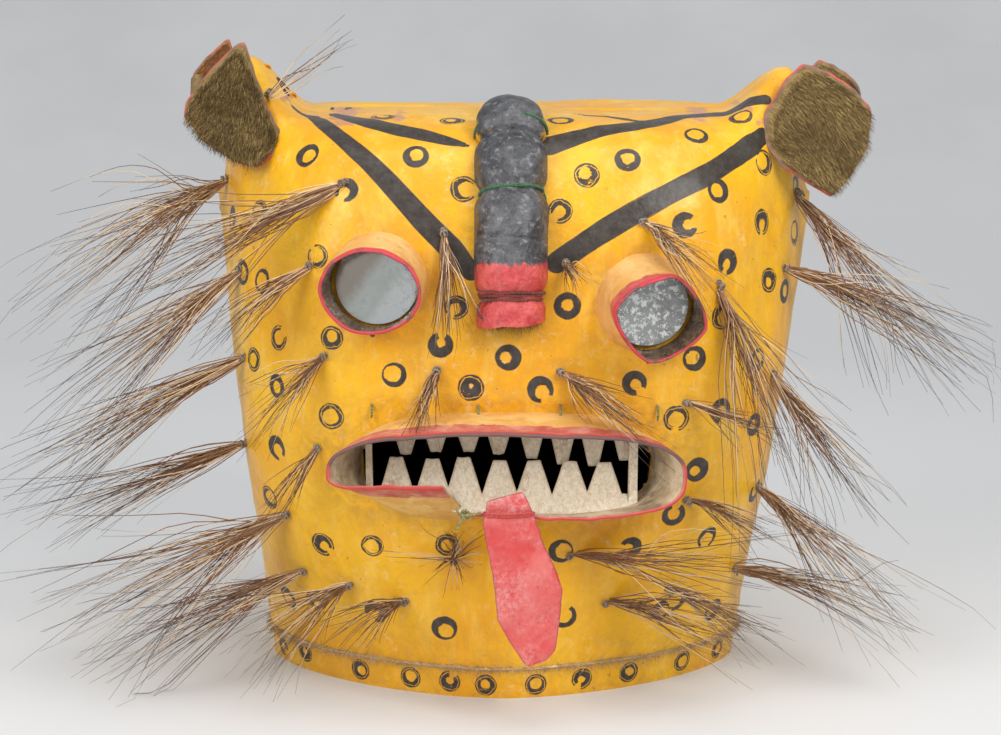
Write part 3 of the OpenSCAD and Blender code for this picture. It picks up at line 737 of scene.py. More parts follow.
def mirror_paint(name, silver, cloud, share, flecks, rough, reflection_at=None):
    """Old pocket mirror: clouded silvering with lost flecks, and, where a line across the glass is
    given, a painted reflection: a bright band on one side of it and a warm brown band on the other.
    """
    p = Paint(name, Metallic=1.0)
    mist = p.noise(55, 5, 0.65, warp=0.4)
    colour = p.mix(p.step(mist, 0.35, 0.7), silver, cloud)
    if reflection_at is not None:
        # painted reflection: a near-white band and a warm brown band on either side of a slanted
        # line across the glass
        x, _, z = p.parts(p.place)
        across = p.math("SUBTRACT", p.math("MULTIPLY", x, 0.8), p.math("MULTIPLY", z, 0.6))
        across = p.math("ADD", across, p.math("MULTIPLY", mist, 0.012))
        colour = p.mix(p.step(across, reflection_at + 0.002, reflection_at + 0.008), colour, (1.0, 1.0, 0.95))
        colour = p.mix(p.step(across, reflection_at - 0.006, reflection_at - 0.014), colour, (0.62, 0.53, 0.44))
    fleck_noise = p.noise(330, 5, 0.75)
    clusters = p.noise(45, 3, 0.6)
    fleck = p.math("MULTIPLY", p.step(fleck_noise, 0.50, 0.56), p.step(clusters, 0.38, 0.56))
    colour = p.mix(p.math("MULTIPLY", fleck, share), colour, flecks)
    rough_map = p.number(p.step(mist, 0.35, 0.7), rough, rough + 0.06)
    p.set(Base_Color=colour, Roughness=rough_map, Normal=p.relief(p.noise(30, 3), 0.0006, 0.3))
    return p.material


nose_leather = nose_paint()
red_hide = tongue_paint()
tooth_hide = tooth_paint()
bristle = fibre_paint(
    "boar_bristle", (0.50, 0.265, 0.125), (0.32, 0.150, 0.070), (0.085, 0.055, 0.045),
    (0.92, 0.70, 0.44)
)
ear_hair = fibre_paint(
    "ear_hair", (0.20, 0.125, 0.045), (0.38, 0.245, 0.080), (0.10, 0.062, 0.028),
    (0.72, 0.52, 0.20), 0.6
)
red_hair = fibre_paint(
    "rust_hair", (0.26, 0.09, 0.03), (0.46, 0.18, 0.05), (0.28, 0.09, 0.03), (0.66, 0.34, 0.12), 0.6
)
raw_fibre = fibre_paint(
    "raw_fibre", (0.56, 0.36, 0.14), (0.62, 0.44, 0.22), (0.34, 0.21, 0.10), (0.86, 0.70, 0.44), 0.7
)
stuffing_hair = fibre_paint(
    "stuffing_hair", (0.10, 0.06, 0.04), (0.20, 0.11, 0.06), (0.08, 0.045, 0.03),
    (0.40, 0.25, 0.14), 0.7
)
green_twine = twine_paint(
    "green_twine", (0.020, 0.070, 0.030), (0.075, 0.21, 0.085), (0.11, 0.09, 0.05)
)
yellow_twine = twine_paint(
    "yellow_twine", (0.62, 0.27, 0.012), (0.80, 0.40, 0.02), (0.36, 0.18, 0.04)
)
red_cord = twine_paint("red_cord", (0.42, 0.035, 0.030), (0.66, 0.11, 0.09), (0.30, 0.05, 0.04))
olive_twine = twine_paint("olive_twine", (0.16, 0.15, 0.05), (0.36, 0.34, 0.13), (0.20, 0.13, 0.06))
brown_cord = twine_paint(
    "brown_cord", (0.10, 0.022, 0.018), (0.26, 0.075, 0.055), (0.10, 0.05, 0.03)
)
grey_thread = twine_paint("grey_thread", (0.16, 0.12, 0.09), (0.42, 0.34, 0.26), (0.16, 0.08, 0.05))
# the clear mirror carries a painted reflection along a line across the glass
clear_mirror = mirror_paint(
    "mirror_glass", (0.86, 0.87, 0.80), (0.74, 0.74, 0.66), 0.25, (0.50, 0.44, 0.36), 0.11, -0.195
)
dark_mirror = mirror_paint(
    "tarnished_mirror_glass", (0.52, 0.52, 0.50), (0.34, 0.335, 0.32), 1.0, (1.0, 1.0, 0.95), 0.30
)

# ---- Marks painted on the helmet: X and Z of each in mm ----

RINGS = [
    (-112, 315), (-49, 315), (-22, 298), (-88, 297), (-140, 280), (-159, 273), (-104, 260),
    (-151, 244), (-138, 241), (-128, 211), (-96, 215), (-26, 233), (-35, 212), (-144, 195),
    (-129, 183), (-61, 195), (3, 205), (-97, 170), (-130, 146), (-18, 188), (21, 187),
    (-136, 113), (-104, 90), (-75, 92), (-32, 94), (-110, 50), (-74, 49), (-34, 42),
    (-128, 47), (70, 313), (47, 305), (110, 326), (32, 286), (102, 278), (122, 296),
    (148, 275), (150, 308), (172, 292), (127, 256), (124, 225), (153, 241), (36, 234),
    (108, 203), (74, 190), (98, 169), (146, 196), (145, 158), (124, 171), (171, 264),
    (164, 232), (111, 137), (98, 110), (73, 92), (33, 91), (119, 92), (148, 114),
    (92, 48), (125, 39), (35, 50), (101, 53), (-69, 333), (-96, 336), (-29, 332),
    (33, 332), (137, 333), (8, 130), (-140, 330), (160, 332),
]
BAND_RINGS = [
    (-119, 11), (-84, 9), (-54, 9), (-31, 9), (-10, 8), (19, 8), (46, 9), (74, 9), (107, 9),
    (-134, 9), (130, 9),
]
# Stripes: points along each, half width at each end, and how dry the brush was.
STRIPES = [
    (
        [
            (-124, -20, 343), (-106, -51, 332), (-90, -82, 323), (-72, -97, 309), (-58, -105, 295),
            (-41, -112, 277), (-28, -114, 265), (-18, -117, 253)
        ],
        3.6, 7.2, 0.10
    ),
    (
        [
            (-101, -29, 334), (-88, -54, 333), (-70, -70, 330), (-53, -78, 327), (-36, -83, 324),
            (-20, -88, 320)
        ],
        4.0, 5.6, 0.10
    ),
    (
        [
            (30, -117, 258), (54, -112, 274), (79, -107, 288), (99, -102, 298), (118, -92, 306),
            (138, -70, 316), (150, -55, 323)
        ],
        6.2, 6.4, 0.30
    ),
    (
        [
            (26, -89, 320), (41, -83, 324), (55, -76, 328), (78, -68, 330), (97, -52, 333),
            (118, -40, 336), (141, -32, 339), (152, -38, 342)
        ],
        7.0, 6.0, 0.16
    ),
    ([(40, -36, 334), (60, -47, 333.5), (84, -62, 331)], 1.2, 3.0, 0.20),
]
# Worn places: X, Z, radius.
BARE = [
    (-92, 333, 15), (114, 334, 11), (140, 337, 9), (-60, 333, 7), (150, 330, 10), (-126, 342, 9)
]
# Stitch holes: X, Z.
HOLES = [
    (-76, 279), (-66, 280), (-58, 215), (-71, 212), (79, 273), (66, 277), (62, 197), (-38, 246),
    (-33, 167), (-86, 172), (33, 178), (98, 178), (-88, 106), (-20, 178), (120, 162), (-9, 178),
]
# Bristle tufts: X, Z, direction, length, spread in degrees, droop, number of hairs.
TUFTS = {
    "whisker_left_1": (-163, 294, (-0.80, -0.25, -0.35), 128, 24, 0.18, 80),
    "whisker_left_2": (-89, 301, (-0.82, -0.36, -0.36), 138, 13, 0.10, 64),
    "whisker_left_3": (-152, 246, (-0.80, -0.28, -0.50), 130, 11, 0.08, 66),
    "whisker_left_4": (-108, 255, (-0.72, -0.55, -0.35), 74, 13, 0.12, 44),
    "whisker_left_5": (-150, 195, (-0.86, -0.24, -0.38), 136, 10, 0.06, 70),
    "whisker_left_6": (-100, 205, (-0.66, -0.58, -0.45), 66, 16, 0.08, 40),
    "whisker_left_7": (-152, 140, (-0.90, -0.22, -0.30), 128, 10, 0.05, 60),
    "whisker_left_8": (-105, 151, (-0.50, -0.68, -0.50), 50, 18, 0.08, 30),
    "whisker_left_9": (-124, 106, (-0.84, -0.26, -0.32), 138, 25, 0.06, 86),
    "whisker_left_10": (-115, 70, (-0.80, -0.30, -0.28), 118, 12, 0.06, 70),
    "whisker_left_11": (-88, 66, (-0.70, -0.42, -0.30), 84, 18, 0.10, 50),
    "whisker_left_12": (-56, 58, (-0.70, -0.62, -0.15), 56, 24, 0.10, 34),
    "whisker_left_13": (-28, 85, (-0.05, -0.80, 0.10), 34, 78, 0.05, 46),
    "whisker_left_14": (-33, 275, (0.04, -0.62, -0.74), 58, 13, 0.10, 46),
    "whisker_left_15": (-37, 198, (-0.22, -0.82, -0.48), 46, 15, 0.08, 50),
    "whisker_left_16": (-136, 345, (0.62, -0.50, 0.52), 74, 16, 0.02, 9),
    "whisker_right_1": (78, 280, (0.60, -0.78, -0.22), 66, 16, 0.14, 48),
    "whisker_right_2": (122, 244, (0.40, -0.34, -0.80), 118, 13, 0.12, 56),
    "whisker_right_3": (163, 246, (0.90, -0.30, -0.14), 120, 14, 0.22, 62),
    "whisker_right_4": (35, 258, (0.10, -0.90, -0.30), 34, 30, 0.05, 30),
    "whisker_right_5": (32, 197, (0.62, -0.72, -0.26), 70, 15, 0.10, 58),
    "whisker_right_6": (103, 178, (0.78, -0.60, -0.05), 58, 15, 0.12, 38),
    "whisker_right_7": (156, 186, (0.56, -0.38, -0.66), 96, 15, 0.12, 52),
    "whisker_right_8": (149, 118, (0.72, -0.32, -0.52), 110, 14, 0.12, 60),
    "whisker_right_9": (137, 64, (0.90, -0.36, -0.06), 104, 12, 0.12, 46),
    "whisker_right_10": (105, 119, (0.80, -0.58, -0.08), 58, 16, 0.12, 36),
    "whisker_right_11": (37, 88, (0.86, -0.48, 0.06), 116, 15, 0.06, 44),
    "whisker_right_12": (58, 57, (0.86, -0.50, 0.02), 86, 16, 0.08, 40),
    "whisker_right_13": (96, 62, (0.78, -0.58, -0.16), 66, 22, 0.12, 36),
    "whisker_right_14": (172, 288, (0.60, -0.34, -0.66), 128, 11, 0.10, 60),
}

# ---- Eyes, mouth and nose, as in the CAD model, in mm ----

EYE_X, EYE_Z, EYE_OUT, EYE_WALL, EYE_BASE_R = (-70, 80), (247, 235), 29, 2, 28
EYE_YAW, EYE_PITCH, EYE_TWIST = np.radians((-7, 14)), np.radians((-2, -8)), np.radians((0, -14))
EYE_RIM_W, EYE_RIM_H, EYE_POWER = (29, 28.5), (24, 26), (2.0, 1.45)
MOUTH_X, MOUTH_Z, MOUTH_HALF_W, MOUTH_HALF_H, MOUTH_OUT, MOUTH_WALL = 2, 143, 96, 31, 42, 2.2
MOUTH_POWER = 2.9
MOUTH_BASE_W = 84
MOUTH_BACK_Y = float(face_point(MOUTH_X, MOUTH_Z)[1])
MOUTH_FRONT_Y = MOUTH_BACK_Y - MOUTH_OUT


def super_point(a, b, power, angle):
    return a * signed_pow(np.cos(angle), 2 / power), b * signed_pow(np.sin(angle), 2 / power)


def on_face(x, z, out):
    p = face_point(x, z)
    p[..., 1] += out
    return p


def eye_dir(i):
    yaw, pitch = EYE_YAW[i], EYE_PITCH[i]
    return np.array(
        [math.sin(yaw) * math.cos(pitch), -math.cos(yaw) * math.cos(pitch), math.sin(pitch)]
    )


def eye_centre(i):
    return face_point(EYE_X[i], EYE_Z[i])


def eye_base_point(i, r, angle):
    c = eye_centre(i)
    return on_face(c[0] + r * np.cos(angle), c[2] + r * np.sin(angle), 1)


def eye_rim_point(i, inset, angle):
    d = eye_dir(i)
    e1 = unit(np.cross([0, 0, 1], -d))
    e2 = np.cross(-d, e1)
    px, py = super_point(
        EYE_RIM_W[i] - inset, EYE_RIM_H[i] - inset, EYE_POWER[i], angle - EYE_TWIST[i]
    )
    c, s = math.cos(EYE_TWIST[i]), math.sin(EYE_TWIST[i])
    qx, qy = px * c - py * s, px * s + py * c
    return eye_centre(i) + EYE_OUT * d - qx[..., None] * e1 + qy[..., None] * e2


def mouth_base_point(inset, angle):
    px, py = super_point(MOUTH_BASE_W - inset, MOUTH_HALF_H - inset, MOUTH_POWER, angle)
    return on_face(MOUTH_X + px, MOUTH_Z + py, 1)


def mouth_rim_point(inset, angle, left):
    px, py = super_point(MOUTH_HALF_W + 4 - inset, 1, MOUTH_POWER, angle)
    low = np.where(left, 7 + 4 * smooth(60, 96, -px), 22 + 4 * smooth(0, 70, px))
    z = MOUTH_Z + 1 + py * np.where(py > 0, 25 - inset, low - inset)
    return np.stack([MOUTH_X + px, MOUTH_FRONT_Y + 0.0009 * px * px, z], -1)


NOSE_X, NOSE_L, NOSE_W, NOSE_H, NOSE_WALL = 4.5, 106, 40, 24, 2.5
NOSE_BOTTOM_Z = 224
NOSE_CORDS = (15, 73, 105)
nose_zs = mix(NOSE_BOTTOM_Z, 0.9996 * CROWN_Z, 1 - (1 - np.linspace(0, 1, 61)) ** 2.4)
nose_line = face_point(np.full(61, NOSE_X), nose_zs)
nose_gone = np.concatenate([[0], np.cumsum(np.linalg.norm(np.diff(nose_line, axis=0), axis=1))])


def nose_at(s):
    s = np.asarray(s, float)
    return np.stack(
        [
            NOSE_X + 0 * s, np.interp(s, nose_gone, nose_line[:, 1]),
            np.interp(s, nose_gone, nose_line[:, 2])
        ],
        -1
    )


def nose_out(s):
    return np.cross([1.0, 0, 0], unit(nose_at(np.asarray(s) + 2) - nose_at(np.asarray(s) - 2)))


def nose_half_w(s):
    pinch = sum(bump(s, c, 5) for c in NOSE_CORDS)
    return NOSE_W / 2 + 0.6 - 3.4 * pinch - 1.5 * (1 - smooth(0, 25, s))


def nose_arch(s, grow, foot=0.5, points=15):
    """Points over the nose from one foot to the other, at distances s along it."""
    s = np.atleast_1d(np.asarray(s, float))[:, None]
    k = np.linspace(0, math.pi, points)[None, :]
    a = nose_half_w(s) + grow
    h = NOSE_H * (1 - 0.34 * (1 - smooth(-NOSE_L, -45, -s))) * nose_half_w(s) / (NOSE_W / 2) + grow
    px = a * signed_pow(np.cos(k), 2 / 2.4)
    py = h * signed_pow(np.sin(k), 2 / 2.4)
    return (
        nose_at(s + 0 * k) + px[..., None] * np.array([1.0, 0, 0])
        + (py - foot)[..., None] * nose_out(s + 0 * k)
    )


# ---- Hide panels ----


def panel_grid(front, columns, rows, inset):
    """Points over a panel, evenly spaced along it, with the columns from left to right."""
    angle = np.linspace(-math.pi / 2, math.pi / 2, 1500)
    u_fine = signed_pow(np.sin(angle), 0.55)
    line = shell_point(u_fine, 160, 0, front)
    gone = np.concatenate([[0], np.cumsum(np.linalg.norm(np.diff(line, axis=0), axis=1))])
    us = np.interp(np.linspace(0, gone[-1], columns), gone, u_fine)
    us[0], us[-1] = -1, 1
    q = np.linspace(0, 1, 700)
    q = 1 - (1 - q) ** 2.4
    out = np.zeros((columns, rows, 3))
    for c, u in enumerate(us):
        z = BAND_H + (ridge_z(u) - BAND_H) * q
        path = shell_point(u, z, 0, front)
        gone = np.concatenate([[0], np.cumsum(np.linalg.norm(np.diff(path, axis=0), axis=1))])
        zs = np.interp(np.linspace(0, gone[-1], rows), gone, z)
        zs = BAND_H + (zs - BAND_H) * (ridge_z(u) - inset - BAND_H) / (ridge_z(u) - BAND_H)
        out[c] = shell_point(u, zs, inset, front)
    return out


def grid_normals(p):
    n = unit(np.cross(np.gradient(p, axis=0), np.gradient(p, axis=1)))
    return n


def hand_shape(p, front):
    """How far the hide stands out of its even shape, in mm: dents, swells and creases."""
    x, z = p[..., 0], p[..., 2]
    h = 1.5 * layered(p, 62, 5, 3) + 0.35 * noise(p, 9, 11)
    if front:
        h = (
            h + 1.6 * bump(x, -14 - 0.05 * (z - 60), 5) * smooth(12, 30, z)
            * (1 - smooth(95, 112, z))
        )
        h = (
            h - 1.2 * bump(x, -26 - 0.05 * (z - 60), 8) * smooth(12, 30, z)
            * (1 - smooth(85, 105, z))
        )
        h = h + 1.3 * bump(z, 181 + 0.0006 * x * x, 4) * (1 - smooth(60, 95, np.abs(x)))
        h = h - 1.4 * bump(z, 195, 9) * (1 - smooth(50, 90, np.abs(x - 4)))
        h = (
            h - 1.3 * bump(np.hypot(x + 104, z - 318), 0, 20)
            - 1.2 * bump(np.hypot(x - 120, z - 316), 0, 22)
        )
    return h


def segment_gap(p, line):
    """Distance from each place to a line of points, and how far along it the nearest point is."""
    best = np.full(len(p), 1e9)
    along = np.zeros(len(p))
    lengths = np.linalg.norm(np.diff(line, axis=0), axis=1)
    done = 0.0
    for a, b, length in zip(line[:-1], line[1:], lengths):
        t = np.clip((p - a) @ (b - a) / length**2, 0, 1)
        d = np.linalg.norm(p - a - t[:, None] * (b - a), axis=1)
        closer = d < best
        best = np.where(closer, d, best)
        along = np.where(closer, (done + t * length) / lengths.sum(), along)
        done += length
    return best, along


def stripe_fields(points):
    """Distance inside the nearest stripe, its dryness, and a place stretched along the stripe."""
    inside = np.full(len(points), -60.0)
    dryness = np.zeros(len(points))
    brush = points * MM
    for k, (line, w0, w1, dry) in enumerate(STRIPES):
        path = round_path(line, 4.0, 6)
        skin = face_point(
            path[:, 0],
            np.minimum(
                path[:, 2], ridge_z((path[:, 0] - lean(path[:, 2])) / half_w(path[:, 2])) - 0.5
            )
        )
        path = mix(path, skin, 0.5 * (np.abs(skin[:, 1:2] - path[:, 1:2]) < 8))
        d, along = segment_gap(points, path)
        wide = mix(w0, w1, along) * (1 - 0.25 * smooth(0.9, 1, along))
        if k == 1:
            wide = 1.5 + 5.2 * np.sin(math.pi * np.clip(along, 0, 1)) ** 0.8
        here = wide - d
        nearer = here > inside
        inside = np.where(nearer, here, inside)
        dryness = np.where(nearer, dry * mix(0.6, 1.5, along), dryness)
        place = np.stack([along * 0.02 + k, d * MM * 2.2, 0 * d], -1)
        brush = np.where(nearer[:, None], place, brush)
    return np.stack([np.maximum(inside, -40), dryness, 0 * inside], -1), brush


def spot_fields(points, faces, spots):
    """For each corner, the place within the nearest ring and that ring's hand-printed kind."""
    centres = points[faces].mean(1)
    at = np.array([s[0] for s in spots])
    size = np.array([s[1] for s in spots])
    gap = np.linalg.norm(centres[:, None, :] - at[None], axis=2) / size[None]
    nearest = np.argmin(gap, 1)
    corners = points[faces]
    rel = corners - at[nearest][:, None, :]
    e1 = np.array([s[2] for s in spots])[nearest][:, None, :]
    e2 = np.array([s[3] for s in spots])[nearest][:, None, :]
    u = (rel * e1).sum(-1) / size[nearest][:, None]
    v = (rel * e2).sum(-1) / size[nearest][:, None]
    far = gap[np.arange(len(faces)), nearest] > 2.2
    u, v = np.where(far[:, None], 3.0, u), np.where(far[:, None], 3.0, v)
    kind = np.array([s[4] for s in spots])[nearest]
    spot = np.stack([u, v, np.broadcast_to(kind[:, 3:4], u.shape)], -1).reshape(-1, 3)
    kinds = np.repeat(kind[:, :3], faces.shape[1], axis=0)
    return spot, kinds


def ring_spot(x, z, rng, front=True, kind=None, radius=None):
    """A ring's place, size, directions and kind."""
    at = face_point(float(x), float(z), front)
    n = face_normal(float(x), float(z), front)
    e1 = unit(np.cross([0, 0, 1.0], n))
    turn = rng.uniform(0, TURN)
    e2 = np.cross(n, e1)
    a = math.cos(turn) * e1 + math.sin(turn) * e2
    b = np.cross(n, a)
    if kind is None:
        opened = rng.uniform(0.20, 0.55) if rng.random() < 0.42 else -1.0
        size = rng.uniform(0.34, 0.50) if rng.random() < 0.55 else rng.uniform(0.52, 0.66)
        kind = (opened, rng.uniform(0.04, 0.26), size, rng.uniform(0.84, 1.0))
    return at, radius or rng.uniform(6.9, 7.9), a, b, kind


def hide_attributes(points, faces, front, rng):
    x, z = points[:, 0], points[:, 2]
    spots = []
    if front:
        spots = [ring_spot(x0, z0, rng) for x0, z0 in RINGS]
        spots[19] = (*spots[19][:4], (-1.0, 0.1, 0.16, 0.95))
        spots += [
            ring_spot(x0, z0, rng, kind=(-1.0, 0.0, -1.0, 1.3), radius=1.3) for x0, z0 in HOLES
        ]
        spots += [
            ring_spot(
                w[0], w[1], rng, kind=(-1.0, 0.0, -1.0, 1.3), radius=2.4
            ) for w in TUFTS.values()
        ]
    else:
        taken = []
        for _ in range(900):
            x0, z0 = rng.uniform(-158, 164), rng.uniform(26, 322)
            edge = abs(x0 - lean(z0)) < half_w(z0) - 14
            if edge and all(math.hypot(x0 - a, z0 - b) > 29 for a, b in taken):
                taken.append((x0, z0))
        spots = [ring_spot(x0, z0, rng, front=False) for x0, z0 in taken]
    spot, kinds = spot_fields(points, faces, spots)
    if front:
        stripe, brush = stripe_fields(points)
    else:
        stripe, brush = np.tile([-40.0, 0, 0], (len(points), 1)), points * MM
    # darkness of each point: dirt mixed with painted shade, darker towards the bottom and at the
    # sides, and at the feet of the mouth ring, eye tubes, nose and bristle knots
    grime_and_shade = (
        0.18 + 0.30 * (1 - smooth(18, 60, z))
        + 0.35 * smooth(0.90, 1.0, np.abs(x - lean(z)) / half_w(z))
    )
    bare = np.zeros(len(points))
    if front:
        mouth = np.abs((x - MOUTH_X) / 104) ** 3 + np.abs((z - MOUTH_Z) / 40) ** 3
        grime_and_shade = grime_and_shade + 0.55 * np.exp(-np.maximum(0, mouth - 0.8) * 1.8)
        for i in (0, 1):
            d = np.hypot(x - EYE_X[i], z - EYE_Z[i])
            grime_and_shade = grime_and_shade + 0.55 * np.exp(-np.maximum(0, d - 28) / 9)
        d = np.abs(x - NOSE_X)
        grime_and_shade = grime_and_shade + 0.5 * np.exp(-np.maximum(0, d - 20) / 6) * smooth(205, 222, z)
        for w in TUFTS.values():
            grime_and_shade = grime_and_shade + 0.55 * np.exp(-np.hypot(x - w[0], z - w[1]) / 6)
        for bx, bz, r in BARE:
            bare = np.maximum(bare, 0.75 * np.exp(-((np.hypot(x - bx, (z - bz) * 2.2) / r) ** 2)))
        bare = np.maximum(bare, 0.42 * bump(z, 181, 5) * (1 - smooth(70, 100, np.abs(x))))
    return {
        "grime_and_shade": np.clip(grime_and_shade, 0, 1), "bare": bare, "stripe": stripe, "brush": brush
    }, {"spot": spot, "spot_kind": kinds}


def make_panel(name, node, front, columns, rows, seed):
    outer = panel_grid(front, columns, rows, 0)
    inner = panel_grid(front, columns, rows, HIDE_T)
    normal = grid_normals(outer) * (1 if front else -1)
    side = np.sin(np.linspace(0, math.pi, columns))[:, None] ** 0.35
    edge = (
        side * smooth(0, 0.03, np.linspace(0, 1, rows))[None, :]
        * (1 - smooth(0.975, 1, np.linspace(0, 1, rows)))[None, :]
    )
    move = (hand_shape(outer, front) * edge)[..., None] * normal
    outer, inner = outer + move, inner + move
    keep = None
    if front:
        quads = grid_quads(columns, rows)
        centre = outer.reshape(-1, 3)[quads].mean(1)
        grow = 1.8
        hole = np.abs((centre[:, 0] - MOUTH_X) / (MOUTH_BASE_W - grow)) ** MOUTH_POWER
        hole += np.abs((centre[:, 2] - MOUTH_Z) / (MOUTH_HALF_H - grow)) ** MOUTH_POWER
        keep = hole > 1
    points, faces, used = slab(outer, inner, columns, rows, keep)
    if not front:
        faces = faces[:, ::-1]
    point, corner = hide_attributes(points, faces, front, np.random.default_rng(seed))
    # flags the inner side, which the paint colours near-black as painted shade inside the helmet
    point["stripe"][:, 2] = used >= columns * rows
    build(
        name, points, [faces], painted_hide, [node], point=point, corner=corner
    )


make_panel("face_leather", "face_hide", True, 205, 190, 4)
make_panel("back_leather", "back_hide", False, 150, 130, 9)


def outline(z, inset, n):
    a = np.linspace(0, math.pi, n, endpoint=False)
    return np.concatenate(
        [shell_point(np.cos(a), z, inset, True), shell_point(-np.cos(a), z, inset, False)]
    )


def make_band():
    zs = [0.0, 1.5, 4, 7, 10, 13, 16, BAND_H - 0.1]
    n = 200
    outer = np.stack([outline(z, 0, n) for z in zs], 1)
    inner = np.stack([outline(z, HIDE_T, n) for z in zs], 1)
    centre = np.array([3.0, 0, 0])
    out = unit((outer - centre) * [1, 1, 0])
    wave = 0.7 * noise(outer, 42, 3) * smooth(0, 4, outer[..., 2])
    outer, inner = outer + wave[..., None] * out, inner + wave[..., None] * out
    loop = np.concatenate([outer, inner[:, ::-1]], 1)
    rows, cols = loop.shape[:2]
    faces = grid_quads(rows, cols, True, True)
    points = loop.reshape(-1, 3)
    faces = outward(points, faces)
    rng = np.random.default_rng(12)
    spots = [
        ring_spot(
            x, z, rng, radius=6.6, kind=(-1.0 if k % 3 else 0.4, 0.12, 0.32 + 0.1 * (k % 3), 0.95)
        ) for k,
        (x, z) in enumerate(BAND_RINGS)
    ]
    for x in range(-120, 130, 27):
        spots.append(ring_spot(x, 9, rng, front=False, radius=6.4))
    spot, kinds = spot_fields(points, faces, spots)
    count = len(points)
    # the band's darkening is dirt mixed with painted shade, darker at its foot and under the hem
    point = {
        "grime_and_shade": 0.45 + 0.35 * (
            1 - smooth(0, 6, points[:, 2])
        ) + 0.3 * smooth(13, 18, points[:, 2]),
        "bare": 0.15 + 0 * points[:, 0],
        "stripe": np.tile([-40.0, 0, 0], (count, 1)),
        "brush": points * MM,
    }
    build(
        "band_leather", points, [faces], painted_hide, ["neck_band"], point=point,
        corner={"spot": spot, "spot_kind": kinds}
    )


make_band()

# ---- Eye tubes and mouth ring ----


def wall_profile(base_out, rim_out, rim_in, base_in, steps, bulge):
    """Closed profiles of a thin wall, one per angle: up outside, over the rim, down inside."""
    q = np.linspace(0, 1, steps)[None, :, None]
    outside = mix(base_out[:, None], rim_out[:, None], q)
    inside = mix(rim_in[:, None], base_in[:, None], q)
    middle = mix(rim_out, rim_in, 0.5)[:, None]
    lift = (
        0.35 * (rim_out - base_out)[:, None]
        / np.linalg.norm(rim_out - base_out, axis=-1)[:, None, None]
    )
    rim = np.concatenate([
        mix(rim_out[:, None], rim_in[:, None], 0.12) + lift * 1.4,
        middle + lift * 2.6,
        mix(rim_out[:, None], rim_in[:, None], 0.88) + lift * 1.4,
    ], 1)
    swell = bulge * np.sin(math.pi * q)
    out_dir = unit(base_out - base_in)[:, None]
    return np.concatenate([outside + swell * out_dir, rim, inside + swell * out_dir], 1)


def wall_attributes(loops, steps, band):
    """How far each point is from the rim, whether it is inside, and the red band there."""
    q = np.concatenate([np.linspace(0, 1, steps), [1, 1, 1], np.linspace(1, 0, steps)])
    depth = np.linalg.norm(loops[:, steps - 1] - loops[:, 0], axis=-1)
    rim = (1 - q)[None, :] * depth[:, None]
    inner = np.concatenate([np.zeros(steps + 2), np.ones(steps + 1)])[None, :] + 0 * rim
    return {
        "rim_mm": rim.ravel(),
        "inner": inner.ravel(),
        "band_mm": (np.broadcast_to(np.asarray(band, float).reshape(-1, 1), rim.shape)).ravel(),
    }


def make_eye(i, side):
    angle = np.linspace(0, TURN, 120, endpoint=False)
    steps = 22
    loops = wall_profile(
        eye_base_point(
            i, EYE_BASE_R, angle
        ), eye_rim_point(i, 0, angle), eye_rim_point(i, EYE_WALL, angle),
        eye_base_point(i, EYE_BASE_R - EYE_WALL, angle), steps, -1.2,
    )
    q = np.concatenate([np.linspace(0, 1, steps), [1, 1, 1], np.linspace(1, 0, steps)])[None, :]
    loops[..., 0] += q * 0.9 * noise(loops, 17, 21 + i) + 0.3 * noise(loops, 5, 3)
    loops[..., 2] += q * 0.9 * noise(loops, 15, 25 + i) + 0.3 * noise(loops, 6, 4)
    loops[..., 1] += q * q * 1.3 * noise(loops, 12, 28 + i)
    rows, cols = loops.shape[:2]
    points = loops.reshape(-1, 3)
    faces = grid_quads(rows, cols, True, True)
    faces = outward(points, faces)
    band = 2.6 + 0.8 * np.sin(angle) if i == 0 else 2.4 + 7.5 * np.maximum(
        0, -np.cos(angle + 0.6)
    ) ** 1.5
    build(
        f"eye_{side}_leather", points, [faces], eye_paint, [f"eye_tube_{side}"],
        point=wall_attributes(loops, steps, band), angle=70
    )
    # short hair left on the inside of the hide
    rng = np.random.default_rng(60 + i)
    count = 1500
    a, depth = rng.uniform(0, TURN, count), rng.uniform(0.06, 0.92, count)
    base = mix(
        eye_base_point(i, EYE_BASE_R - EYE_WALL - 0.2, a), eye_rim_point(i, EYE_WALL + 0.2, a),
        depth[:, None]
    )
    centre = mix(eye_centre(i), eye_centre(i) + EYE_OUT * eye_dir(i), depth[:, None])
    inward = unit(centre - base)
    d = unit(inward * 0.40 + eye_dir(i) * 0.9 + 0.25 * rng.normal(size=(count, 3)))
    reach = rng.uniform(2.0, 4.2, count)
    t = np.linspace(0, 1, 3)
    paths = (
        base[:, None] + reach[:, None, None] * t[None, :, None] * d[:, None]
        + 0.5 * (t**2)[None, :, None] * inward[:, None]
    )
    radii = np.broadcast_to(0.16 * (1 - 0.85 * t), (count, 3))
    points, faces = tubes(paths, radii, 3)
    build(
        f"eye_{side}_hair", points, faces, ear_hair, [], angle=180,
        point=hair_facts(t, rng.random(count)))


make_eye(0, "left")
make_eye(1, "right")


